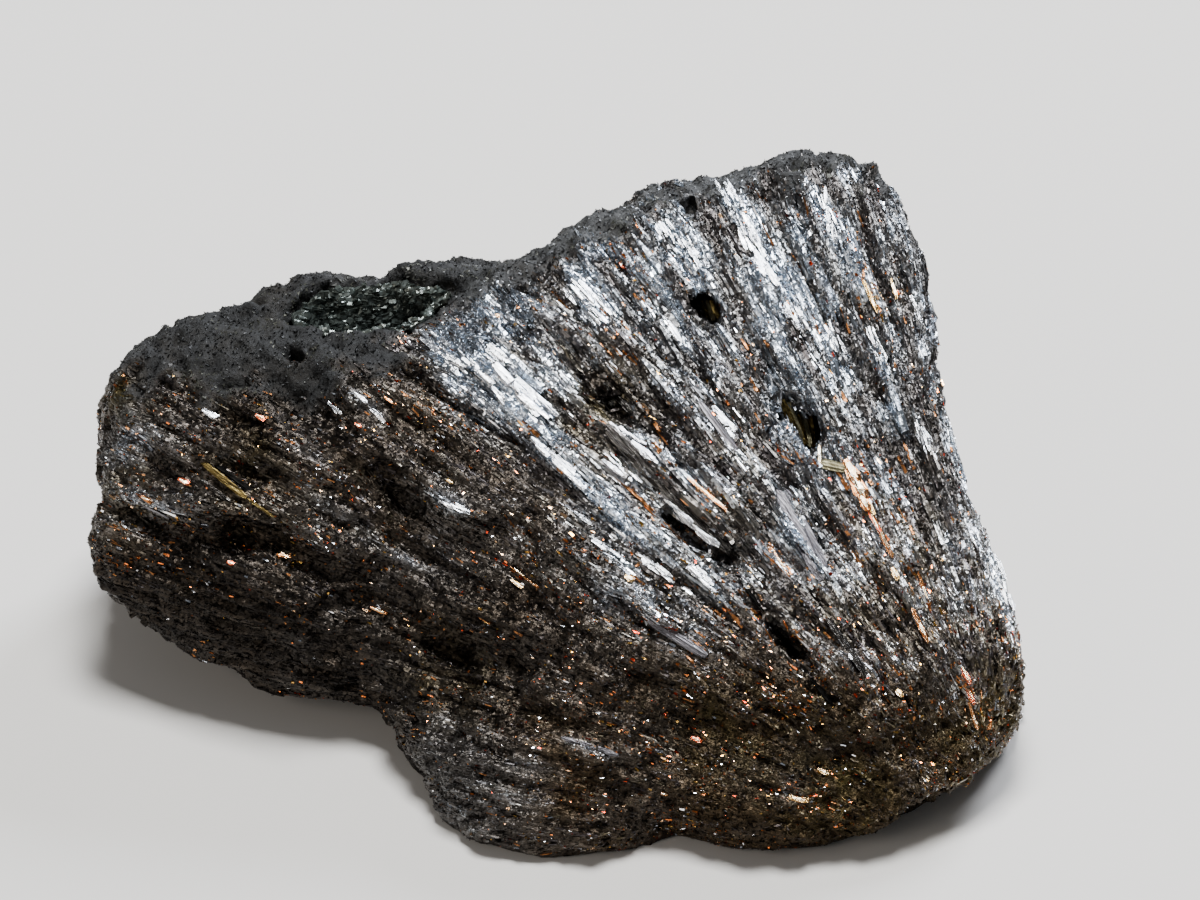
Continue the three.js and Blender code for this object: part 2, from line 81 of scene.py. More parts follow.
# How the specimen changes over the display side: at (u, v), how far that reaches, how bronze its tarnish is,
# how bright and clean its blades are, and how coarse they are. Bright below 0 is painted shade.
ZONES = [
    # name, u, v, reach, bronze, bright, coarse
    ("crest", 14, 15, 7, 0.00, 0.54, 0.9),
    ("middle of the fan", 9, 8, 7, 0.10, 0.60, 0.9),
    ("trough in the fan", 0, 4, 4, 0.50, 0.28, 1.0),
    ("ridge", -5, 5, 3, 0.20, 0.88, 1.0),
    ("foot of the fan", 8, -5, 6, 0.28, 0.54, 1.0),
    ("right strip", 22, 3, 5, 0.15, 0.46, 0.9),
    ("right foot", 21, -11, 6, 0.58, 0.60, 0.8),
    ("corner", 26, -18, 5, 0.95, 0.50, 0.7),
    ("waist", 10, -16, 5, 0.80, 0.18, 0.7),
    ("right toe", 14, -24, 6, 1.00, 0.15, 0.6),
    ("left toe", -1, -22, 5, 0.80, 0.23, 0.6),
    ("left toe, flank", -9, -23, 3, 0.12, 0.26, 0.6),
    # Painted shade in the gully, a valley, which is made a little darker than its blades are.
    ("gully", -9, -13, 4, 0.60, -0.05, 0.6),
    ("right of the left face", -9, -5, 4, 0.60, 0.22, 0.7),
    ("left face", -20, -4, 6, 0.70, 0.14, 0.65),
    # Painted shade under the overhang of the left end and under the brow.
    ("undercut", -22, -13.5, 5, 0.60, -0.35, 0.6),
    ("undercut, left", -29.5, -10.5, 4, 0.65, -0.50, 0.6),
    ("under the brow", -21.8, 2.4, 3.0, 0.60, -0.30, 0.6),
    ("left end", -33, -3, 4, 0.50, 0.27, 0.7),
    ("back", -10, 24, 6, 0.40, 0.30, 0.8),
]

# Ovals along the spray where the blades are cleaner, or tarnished to copper. From fan, over the notch on,
# they are painted light where bright is above 0, and painted shade, duller, where bright is below 0.
STREAKS = [
    # name, u, v, half length, half width, bright, copper
    ("ridge, upper", -7.2, 5.6, 2.8, 0.8, 0.9, 0.0),
    ("ridge, middle", -5.0, 2.9, 2.8, 0.8, 1.0, 0.0),
    ("ridge, tip", -2.8, -1.1, 2.4, 0.45, 0.9, 0.2),
    ("splinters beside the ridge", -10.3, 6.2, 2.2, 0.6, 0.6, 0.1),
    ("shoulder", -1.0, 10.0, 1.9, 0.9, 0.8, 0.0),
    ("crest, left", 5.4, 13.6, 2.8, 0.9, 0.6, 0.1),
    ("crest, middle", 11.8, 13.4, 2.8, 0.8, 0.6, 0.0),
    ("crest, top", 9.6, 18.2, 1.8, 0.9, 0.5, 0.0),
    ("crest, slot", 15.8, 16.0, 2.2, 0.5, 0.7, 0.2),
    ("fan, patch", 5.3, 8.2, 1.2, 0.7, 0.6, 0.0),
    ("fan, right", 16.4, 6.6, 3.0, 0.9, 0.5, 0.2),
    ("right strip", 20.0, 9.6, 2.6, 0.6, 0.3, 0.5),
    ("right strip, copper", 18.6, 12.0, 3.2, 0.7, 0.1, 0.8),
    ("long blade", 5.6, -1.6, 4.5, 0.5, 0.4, 0.5),
    ("long blade, foot", 7.6, -3.2, 1.8, 0.6, 0.2, 1.0),
    ("beside the long blade", 4.3, -5.4, 1.4, 0.5, 0.2, 1.0),
    ("flat blade", 14.0, -6.0, 4.0, 1.1, 0.3, 0.0),
    ("flat blade, edge", 12.4, -7.8, 3.0, 0.4, 0.4, 0.8),
    ("pale ledge", 14.2, -0.4, 1.0, 3.4, 0.1, 0.1),
    ("copper blade", 17.9, -2.2, 1.9, 0.55, 0.5, 2.2),
    ("copper blade, tail", 19.5, -6.2, 2.2, 0.4, 0.3, 1.6),
    ("right foot, copper", 22.3, -10.0, 2.2, 0.6, 0.2, 1.6),
    ("corner, copper", 25.3, -16.2, 1.8, 0.4, 0.3, 2.2),
    ("right edge", 27.9, -10.4, 3.4, 0.4, 0.8, 0.2),
    ("foot, granular", 1.6, -4.6, 3.0, 2.0, 0.35, 0.1),
    ("foot, lower", 5.2, -12.6, 3.0, 1.4, 0.3, 0.3),
    ("copper thread", -5.2, -8.8, 2.8, 0.3, 0.1, 1.4),
    ("shoulder, copper", 2.3, 12.0, 2.4, 0.7, 0.0, 0.9),
    ("between the toes", 3.4, -20.6, 2.4, 0.9, 0.0, 1.8),
    ("left toe, rib", -1.0, -20.5, 3.0, 0.6, 0.6, 0.3),
    ("right toe, patch", 13.6, -24.0, 1.4, 0.8, 0.6, 1.4),
    ("brow", -23.0, 2.8, 3.4, 0.5, 0.0, 0.6),
    ("brow, right", -13.0, 3.6, 2.2, 0.5, 0.2, 0.9),
    ("left ledge", -31.5, -3.8, 3.4, 0.8, 0.6, 0.9),
    ("left face, thread", -23.6, -7.2, 3.0, 0.4, 0.1, 1.0),
    ("left face, lower thread", -15.6, -11.0, 2.4, 0.4, 0.1, 1.2),
    ("left peak", -10.6, -3.6, 1.8, 0.7, 0.6, 0.1),
    ("cap, towards the fan", -7.2, 10.6, 2.4, 2.2, 0.7, 0.2),
    ("left face, grey", -19.6, -0.6, 3.0, 0.7, 0.5, 0.0),
    ("left face, grey, low", -14.2, -7.3, 2.6, 0.5, 0.5, 0.0),
    ("left face, grey, left", -26.2, -0.2, 2.0, 0.6, 0.5, 0.1),
    ("left face, grey, middle", -17.8, -4.6, 2.8, 0.4, 0.4, 0.0),
    ("brow, grey", -16.6, 3.6, 2.6, 0.6, 0.6, 0.0),
    ("left toe, grey", -4.2, -22.0, 2.4, 0.6, 0.4, 0.0),
    ("left end, glitter", -32.6, 0.6, 1.6, 1.8, 0.4, 0.4),
    ("left end, lower glitter", -33.4, -5.2, 2.0, 0.5, 0.5, 0.6),
    # Painted light and shade: ovals above 0 bright are lighter, and ovals below 0 are darker.
    ("fan, over the notch", 12.4, 7.4, 3.0, 1.3, 0.22, 0.0),
    ("fan, left of the notch", 12.0, 4.2, 1.8, 0.9, 0.2, 0.0),
    ("fan, middle", 8.6, 0.8, 2.6, 0.9, 0.22, 0.0),
    ("right strip, high", 20.4, 7.6, 3.0, 1.2, 0.2, 0.0),
    ("left of the ledge, painted shade", 12.0, -0.6, 2.2, 1.2, -0.18, 0.2),
    ("right of the ledge, painted shade", 16.6, 0.8, 2.4, 1.2, -0.22, 0.2),
    ("right of the long blade, painted shade", 8.6, -3.8, 2.2, 1.0, -0.18, 0.0),
    ("trough in the fan", 0.2, 4.2, 3.4, 1.6, 0.5, 0.0),
    ("shoulder, painted shade", -7.6, 12.0, 1.8, 1.8, -0.25, 0.0),
    ("ridge, top", -12.0, 6.6, 3.0, 1.2, 0.35, 0.0),
    ("ridge, foot", 0.2, -4.0, 2.6, 1.0, 0.18, 0.0),
    ("ridge, foot, painted shade", 0.2, -8.0, 2.6, 1.2, -0.12, 0.2),
    ("peak, foot", -4.4, -7.8, 3.0, 1.3, 0.25, 0.2),
    ("ridge, flank, painted shade", -9.6, 0.2, 3.6, 1.3, -0.25, 0.0),
    ("left face, right", -12.2, -4.2, 2.6, 1.4, 0.3, 0.0),
    ("left face, upper left", -28.0, -4.0, 3.0, 1.5, 0.2, 0.2),
    ("waist, right, painted shade", 20.0, -16.2, 3.0, 1.4, -0.18, 0.2),
    ("waist, high", 8.6, -11.6, 3.2, 1.6, 0.22, 0.2),
    ("waist, high, right", 14.4, -12.6, 3.0, 1.4, 0.2, 0.2),
    ("right foot, high", 20.0, -8.2, 3.0, 1.4, 0.2, 0.2),
    ("right foot, edge", 24.4, -8.4, 3.4, 1.2, 0.22, 0.1),
]

# Where yellow oxide dusts the blades: at (u, v), how far that reaches, and how thick it is.
OXIDE = [
    # name, u, v, reach, strength
    ("left end, upper", -33.8, 4.0, 1.6, 0.8),
    ("left end, lower", -33.4, -3.4, 2.0, 0.7),
    ("left face", -24.6, -0.8, 2.4, 0.5),
    ("gully", -10.5, -16.0, 3.4, 0.4),
    ("trough in the fan", 0.0, 3.4, 2.8, 0.6),
    ("waist", 9.0, -19.0, 4.0, 0.5),
    ("right toe", 17.0, -23.5, 4.0, 0.7),
    ("corner", 26.5, -19.6, 3.2, 0.8),
]

# Troughs and pits along the spray, deeper than the relief of the bundles, and one ledge that stands up.
TROUGHS = [
    # name, u, v, half length, half width, depth
    ("beside the ridge", -0.4, 4.4, 3.6, 1.1, 1.1),
    ("fan pit", 7.2, 9.9, 1.1, 0.8, 1.3),
    ("fan pit, left", 6.3, 10.1, 0.7, 0.5, 1.6),
    ("fan trough", 4.8, 2.4, 3.0, 0.8, 0.8),
    ("above the ledge", 13.2, 2.9, 3.2, 1.4, 1.1),
    ("pale ledge, raised", 14.2, -0.8, 0.9, 3.4, -0.6),
    ("under the long blade", 8.5, -6.8, 1.2, 0.7, 1.4),
    ("long groove, upper", 10.9, -10.7, 1.5, 0.45, 1.3),
    ("long groove, middle", 13.1, -13.6, 1.6, 0.42, 1.1),
    ("long groove, lower", 15.4, -16.8, 1.5, 0.36, 0.9),
    ("notch, lower", 13.2, 0.9, 1.6, 1.2, 2.0),
    ("crest slot", 13.9, 18.0, 1.3, 0.35, 1.3),
    ("crest slot, right", 15.2, 17.4, 1.0, 0.3, 0.9),
    ("right of the flat blade", 16.2, -6.4, 3.0, 0.5, 0.7),
    ("foot groove", 3.2, -16.0, 2.8, 0.6, 0.8),
    ("foot groove, right", 12.6, -18.4, 1.8, 0.5, 0.8),
    ("upper fan", 3.2, 9.2, 3.0, 0.5, 0.6),
    ("crest furrow", 8.6, 14.6, 2.6, 0.5, 0.6),
    ("right furrow", 18.0, 3.4, 3.6, 0.5, 0.6),
    ("strip furrow", 21.4, -2.4, 4.0, 0.5, 0.6),
    ("left pit", -15.4, -1.8, 1.2, 0.9, 0.9),
    ("under the brow", -20.6, 2.4, 3.0, 1.1, 0.9),
    ("under the brow, left", -25.6, 2.6, 1.8, 0.8, 0.9),
    ("under the brow, right", -14.6, 2.0, 2.0, 0.8, 0.8),
    ("left furrow", -25.0, -1.2, 3.6, 0.6, 0.7),
    ("gully pit", -11.0, -13.8, 1.6, 0.9, 0.8),
    ("toe furrow", -3.4, -18.4, 3.2, 0.6, 0.7),
]

# Blades large enough to be told apart: at (u, v), turned so many degrees off the spray, and lifted so far
# out of the face.
LARGE_BLADES = [
    # name, u, v, length, width, turn, lift, finish
    ("long blade", 4.6, -2.8, 12.0, 1.25, -3, 0.42, "dull"),
    ("long blade, edge", 6.0, -4.7, 5.0, 0.35, -3, 0.5, "silver"),
    ("long blade, head", 2.4, 0.4, 3.4, 0.4, -2, 0.45, "silver"),
    ("long blade, copper side", 7.4, -3.0, 3.6, 0.25, -6, 0.4, "copper"),
    ("flat blade", 14.0, -5.9, 7.4, 1.5, 12, 0.12, "grey"),
    ("flat blade, edge", 12.4, -7.6, 3.0, 0.2, 10, 0.3, "copper"),
    ("copper blade", 17.4, -1.6, 1.9, 1.0, 4, 0.4, "copper"),
    ("copper blade, middle", 17.9, -2.7, 1.9, 1.1, 4, 0.4, "copper"),
    ("copper blade, end", 18.3, -3.7, 1.5, 0.75, 4, 0.4, "copper"),
    ("copper blade, foot", 18.7, -3.9, 1.6, 0.35, 2, 0.5, "gold"),
    ("copper blade, below", 19.0, -5.0, 1.8, 0.3, 2, 0.4, "red"),
    ("copper blade, tail", 19.6, -6.1, 3.2, 0.35, 2, 0.2, "copper"),
    ("right foot blade", 22.4, -9.6, 2.6, 0.3, 2, 0.15, "copper"),
    ("corner blade", 25.2, -15.4, 1.8, 0.42, -4, 0.2, "red"),
    ("corner blade, end", 25.5, -16.7, 1.8, 0.42, -4, 0.15, "red"),
    ("corner blade, foot", 25.8, -18.4, 2.0, 0.25, -2, 0.2, "copper"),
    ("corner blade, above", 22.1, -12.2, 2.6, 0.4, 4, 0.3, "copper"),
    ("white splinter", 15.3, -0.3, 1.4, 0.34, 26, 1.2, "white"),
    ("pale ledge", 15.9, -1.2, 2.6, 0.8, -54, 0.3, "pale"),
    ("notch, wall, left", 13.2, 2.4, 2.4, 0.5, 10, 2.8, "olive"),
    ("notch, wall", 13.6, 2.0, 2.8, 0.5, 12, 2.4, "pale"),
    ("notch, wall, middle", 14.0, 1.7, 2.8, 0.5, 12, 2.0, "olive"),
    ("notch, wall, right", 14.4, 1.5, 2.6, 0.45, 14, 1.5, "pale"),
    ("notch, wall, foot", 14.8, 1.3, 2.2, 0.4, 16, 0.9, "olive"),
    ("fan pit, wall", 7.4, 9.8, 1.5, 0.4, 15, 0.9, "olive"),
    ("fan pit, wall, middle", 7.75, 9.8, 1.5, 0.4, 14, 1.5, "pale"),
    ("fan pit, wall, right", 8.05, 9.85, 1.4, 0.4, 16, 2.0, "olive"),
    # Black blades lying in the long groove: painted shadow that darkens it.
    ("long groove, upper", 10.6, -10.2, 3.2, 0.45, 12, 0.15, "black"),
    ("long groove, middle", 12.6, -13.0, 3.8, 0.35, 12, 0.1, "black"),
    ("long groove, lower", 15.0, -16.2, 3.6, 0.32, 12, 0.08, "black"),
    ("bright blade", -5.8, 4.4, 6.8, 1.1, 4, 0.4, "silver"),
    ("bright blade, beside", -8.2, 5.2, 4.6, 0.4, 6, 0.3, "silver"),
    ("bright blade, above", -6.6, 6.2, 3.6, 0.5, 2, 0.3, "silver"),
    ("bright blade, tip", -2.8, -0.8, 4.4, 0.5, 2, 0.35, "silver"),
    ("bright blade, left", -10.8, 6.8, 4.0, 1.1, 6, 0.25, "silver"),
    ("shoulder blade", -0.9, 10.4, 3.4, 1.3, -4, 0.3, "silver"),
    ("fan blade", 1.8, 3.2, 5.0, 0.6, -2, 0.3, "dull"),
    ("fan blade, right", 8.2, 1.6, 4.4, 0.5, 0, 0.2, "grey"),
    ("crest blade, left", 4.7, 15.1, 2.2, 0.9, 2, 0.3, "silver"),
    ("crest blade, left, low", 6.4, 13.9, 2.0, 0.5, 2, 0.3, "silver"),
    ("crest blade, middle", 10.9, 14.0, 5.4, 0.75, 1, 0.3, "silver"),
    ("crest edge", 9.0, 18.3, 1.6, 1.1, 1, 0.2, "silver"),
    ("crest blade, right", 16.1, 16.4, 3.6, 0.4, 4, 0.3, "silver"),
    ("fan blade, high", 5.2, 8.4, 1.8, 0.8, 0, 0.3, "silver"),
    ("fan blade, high, right", 13.7, 9.4, 2.6, 0.8, 0, 0.3, "silver"),
    ("fan blade, high, strip", 16.3, 7.7, 2.0, 0.8, 0, 0.3, "silver"),
    ("fan blade, low", 8.8, 2.0, 2.4, 0.7, 0, 0.3, "silver"),
    ("fan blade, foot", 1.4, -1.6, 3.0, 0.9, 0, 0.3, "silver"),
    ("foot blade, high", 4.0, -8.2, 2.6, 0.8, 0, 0.2, "silver"),
    ("foot blade, low", 7.2, -8.8, 2.2, 0.7, 0, 0.2, "silver"),
    ("strip blade, gold", 19.0, 10.7, 2.6, 0.35, -3, 0.25, "gold"),
    ("strip blade, high", 22.2, 9.8, 2.0, 0.6, -3, 0.25, "silver"),
    ("strip blade, low", 19.4, 7.4, 2.2, 0.6, -3, 0.25, "silver"),
    ("strip blade, foot", 22.6, 0.6, 2.8, 0.6, -3, 0.25, "silver"),
    ("edge blade", 27.9, -9.4, 3.6, 0.4, -4, 0.35, "silver"),
    ("foot blade", 5.4, -13.0, 4.6, 0.7, 0, 0.3, "grey"),
    ("foot blade, right", 17.0, -13.6, 4.6, 0.6, 6, 0.3, "dull"),
    ("toe blade", -0.7, -20.5, 4.0, 0.4, -2, 0.1, "grey"),
    ("toe blade, right", 13.6, -24.1, 1.5, 0.3, 0, 0.15, "copper"),
    ("left blade", -26.2, -2.2, 4.2, 0.5, 12, 0.2, "olive"),
    ("left blade, above", -25.5, -2.1, 3.4, 0.4, 12, 0.15, "black"),
    ("left blade, below", -26.8, -2.9, 2.8, 0.35, 14, 0.15, "dull"),
    ("left blade, foot", -23.6, -4.0, 2.2, 0.22, 10, 0.2, "olive"),
    ("left ledge blade", -31.2, -4.2, 2.4, 0.2, 4, 0.15, "grey"),
    ("brow, end", -16.0, 3.0, 2.4, 0.12, 8, 0.2, "silver"),
    ("left peak blade", -10.2, -3.8, 1.8, 0.3, -10, 0.2, "silver"),
    ("copper thread", -5.2, -8.8, 3.0, 0.16, 0, 0.15, "copper"),
    ("flash, brow", -23.7, 2.2, 0.8, 0.40, 0, 0.2, "red"),
    ("flash, brow, left", -27.2, 2.5, 0.6, 0.25, 0, 0.2, "silver"),
    ("flash, brow, right", -18.4, 2.8, 1.0, 0.30, 0, 0.2, "silver"),
    ("flash, under the brow", -16.8, 1.7, 0.5, 0.35, 0, 0.2, "red"),
    ("flash, end of the brow", -14.6, 3.4, 1.0, 0.28, 0, 0.2, "copper"),
    ("flash, left ledge", -31.6, -3.4, 0.9, 0.40, 0, 0.2, "copper"),
    ("flash, above the ledge", -29.0, -2.2, 0.9, 0.40, 0, 0.2, "red"),
    ("flash, left face", -22.0, -7.3, 1.0, 0.35, 0, 0.2, "copper"),
    ("flash, left face, low", -25.7, -7.9, 0.5, 0.35, 0, 0.2, "red"),
    ("flash, above the undercut", -15.4, -11.1, 1.3, 0.40, 0, 0.2, "copper"),
    ("flash, left peak", -10.4, -2.2, 0.5, 0.30, 0, 0.2, "gold"),
    ("flash, thread", -5.7, -9.3, 1.0, 0.30, 0, 0.2, "gold"),
    ("flash, foot of the ridge", 0.0, -6.6, 0.6, 0.30, 0, 0.2, "silver"),
    ("flash, foot", 2.0, -8.9, 0.7, 0.50, 0, 0.2, "gold"),
    ("flash, between the toes", 6.7, -20.0, 0.8, 0.40, 0, 0.2, "red"),
    ("flash, notch", 4.5, -23.7, 0.5, 0.35, 0, 0.2, "copper"),
    ("flash, right toe", 13.7, -24.0, 1.4, 0.50, 0, 0.2, "gold"),
    ("flash, right toe, high", 15.4, -22.2, 0.9, 0.35, 0, 0.2, "gold"),
    ("flash, waist", 20.5, -16.7, 0.9, 0.45, 0, 0.2, "gold"),
    ("flash, beside the groove", 17.4, -14.2, 0.6, 0.35, 0, 0.2, "silver"),
    ("flash, right foot", 20.4, -8.6, 1.0, 0.45, 0, 0.2, "gold"),
    ("flash, upper fan", 1.6, 12.9, 0.6, 0.30, 0, 0.2, "red"),
    ("flash, fan", 6.0, -3.6, 0.9, 0.35, 0, 0.2, "copper"),
    ("flash, strip", 20.6, 11.2, 1.6, 0.30, 0, 0.2, "gold"),
]

# The crust lies above the first line of (u, v), and the fan's long blades above the second.
CRUST_EDGE = [(-40, 5.8), (-31, 4.6), (-26, 3.5), (-15.4, 5.6), (-11.2, 8.4),
              (-5.6, 11.9), (0, 15), (4.2, 18.2), (30, 20.6)]
FAN_EDGE = [(-12, 5), (0, -5), (10, -12), (28, -17)]


def unit(vectors):
    """The vectors, each made 1 long."""
    return vectors / np.linalg.norm(vectors, axis=-1, keepdims=True)


def dots(a, b):
    """The dot product of each vector of a with the same one of b."""
    return np.einsum("ij,ij->i", a, b)


def spot(u, v, u0, v0, reach):
    """A round soft spot: 1 in the middle, and fading out past that reach."""
    return np.exp(-((u - u0) ** 2 + (v - v0) ** 2) / reach ** 2)


def zone_values(points):
    """Bronze, bright and coarse at each point, blended between the zones."""
    u, v, _ = to_display(points)
    weights = np.array([spot(u, v, u0, v0, reach) + 1e-9 for _, u0, v0, reach, *_ in ZONES])
    table = np.array([values for _, _, _, _, *values in ZONES])
    return (table.T @ weights) / weights.sum(0)


def spray_at(u, v):
    """The way that the spray runs at (u, v) on the display side."""
    return unit(np.array([u, v]) - APEX_ON_DISPLAY[:2])


# The columns of STREAKS, and the last column of TROUGHS.
BRIGHT, COPPER = 5, 6
DEPTH = 5


def marks_along_spray(u, v, marks, column):
    """The sum of a list of ovals that lie along the spray, each as strong as its column says."""
    total = np.zeros(len(u))
    for mark in marks:
        _, u0, v0, half_length, half_width = mark[:5]
        away = spray_at(u0, v0)
        along = ((u - u0) * away[0] + (v - v0) * away[1]) / half_length
        across = ((v - v0) * away[0] - (u - u0) * away[1]) / half_width
        total += mark[column] * np.exp(-along ** 4 - across ** 2)
    return total


def smoothstep(low, high, x):
    """A soft step from 0 at low to 1 at high."""
    t = np.clip((x - low) / (high - low), 0, 1)
    return t * t * (3 - 2 * t)


def noise_at(points, size, octaves=1):
    """Soft noise from about -1 to 1 at each point, with features of that size.

    Points that are shifted as a whole get a pattern of their own.
    """
    if octaves == 1:
        return np.array([noise.noise(Vector(p)) for p in points / size])
    return np.array([noise.fractal(Vector(p), 0.8, 2.1, octaves) for p in points / size])


def along_spray(points, across, along):
    """Each point's place on the spray, in steps of that width and length in mm."""
    ray = points - APEX
    distance = np.linalg.norm(ray, axis=1, keepdims=True)
    return ray / distance * (TRUE_WIDTH_AT / across + distance / along)


# Odd factors that turn a bundle's centre into three numbers that look random.
SCRAMBLE = np.array([[12.9898, 78.233, 37.719], [39.346, 11.135, 83.155], [73.156, 52.235, 9.151]])
SCRAMBLE_SIZE = 43758.5453


def bundles(points, outward, across, along, shift):
    """Splits the body into bundles along the spray, of that width and length in mm.

    Gives three random values for each point's bundle, how far across its bundle the point lies in mm, and how
    far it is from the next bundle, as a share of the width.
    """
    spray = along_spray(points, across, along)
    place = spray + shift
    seeds, gap = np.empty_like(place), np.empty(len(place))
    for i, p in enumerate(place):
        distances, centres = noise.voronoi(Vector(p))
        seeds[i] = centres[0]
        gap[i] = distances[1] - distances[0]
    sideways = np.cross(unit(spray), outward)
    offset = dots(place - seeds, sideways) * across
    values = (np.sin(seeds @ SCRAMBLE.T) * SCRAMBLE_SIZE) % 1
    return values, offset, gap


# ---- meshes ----


def mesh_arrays(mesh):
    """The places, in mm, and the normals of the mesh's points."""
    place = np.empty(len(mesh.vertices) * 3)
    normal = np.empty(len(mesh.vertices) * 3)
    mesh.vertices.foreach_get("co", place)
    mesh.vertices.foreach_get("normal", normal)
    return place.reshape(-1, 3) / MM, normal.reshape(-1, 3)


def set_places(mesh, place):
    """Moves the mesh's points to these places in mm, none of them below the base."""
    place[:, 2] = np.maximum(place[:, 2], 0)
    mesh.vertices.foreach_set("co", (place * MM).ravel())
    mesh.update()


def store(mesh, **attributes):
    """Keeps numbers for each point on the mesh, under the names that materials and trees read."""
    for name, values in attributes.items():
        layer = mesh.attributes.get(name) or mesh.attributes.new(name, "FLOAT", "POINT")
        layer.data.foreach_set("value", values.astype(np.float32))


def new_object(name, data):
    """An object in the scene, with that mesh, camera or light."""
    made = bpy.data.objects.new(name, data)
    bpy.context.scene.collection.objects.link(made)
    return made


def dress(piece, material):
    """Gives the piece that material alone."""
    piece.data.materials.clear()
    piece.data.materials.append(material)


def apply_modifiers(piece):
    """Leaves the piece as the plain mesh that its modifiers made."""
    bpy.context.view_layer.update()
    evaluated = piece.evaluated_get(bpy.context.evaluated_depsgraph_get())
    mesh = bpy.data.meshes.new_from_object(evaluated)
    piece.modifiers.clear()
    piece.data = mesh


def finished(piece, slot, *stands_for):
    """Hands a finished piece to the frame."""
    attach(piece, "root")
    for node in stands_for:
        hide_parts(node)


def crust_weight(points):
    """1 on the crust, 0 on the blades, with a ragged edge."""
    u, v, _ = to_display(points)
    edge = np.interp(u, *zip(*CRUST_EDGE))
    return smoothstep(-1.1, 1.1, v - edge + 2.6 * noise_at(points, 2.6, 3))


def modified(piece, kind, **settings):
    """Makes the piece the plain mesh that one modifier gives."""
    modifier = piece.modifiers.new(kind, kind)
    for key, value in settings.items():
        setattr(modifier, key, value)
    apply_modifiers(piece)


def worn_smooth(piece, steps):
    """Where the piece's points would be on a surface worn smooth, in mm."""
    worn = new_object("worn", piece.data.copy())
    modified(worn, "SMOOTH", factor=0.8, iterations=steps)
    place, _ = mesh_arrays(worn.data)
    bpy.data.objects.remove(worn)
    return place


def relief_of_bundles(place, normal):
    """How far each point stands out, in mm, and its bundle's tone, roll and shine from 0 to 1."""
    level = np.linalg.norm(np.cross(unit(place - APEX), normal), axis=1)
    height = np.zeros(len(place))
    for across, along, shift, step, slope, groove, missing, depth in (
        (2.5, 15, 11.3, 0.5, 0.30, 0.22, 0.08, 0.5),
        (1.05, 6, 47.9, 0.28, 0.75, 0.16, 0.10, 0.6),
    ):
        values, offset, gap = bundles(place, normal, across, along, shift)
        raised, rolled, broken = values.T
        height += step * (raised - 0.5) + slope * (rolled - 0.5) * 2 * offset * level
        height -= groove * smoothstep(0.22, 0, gap)
        height -= depth * (broken < missing) * smoothstep(0, 0.15, gap)
    return height, values


# The body and the vug's crust are made anew from cubes of this size in mm, fine enough for their relief.
BODY_VOXEL = 0.33
VUG_VOXEL = 0.2


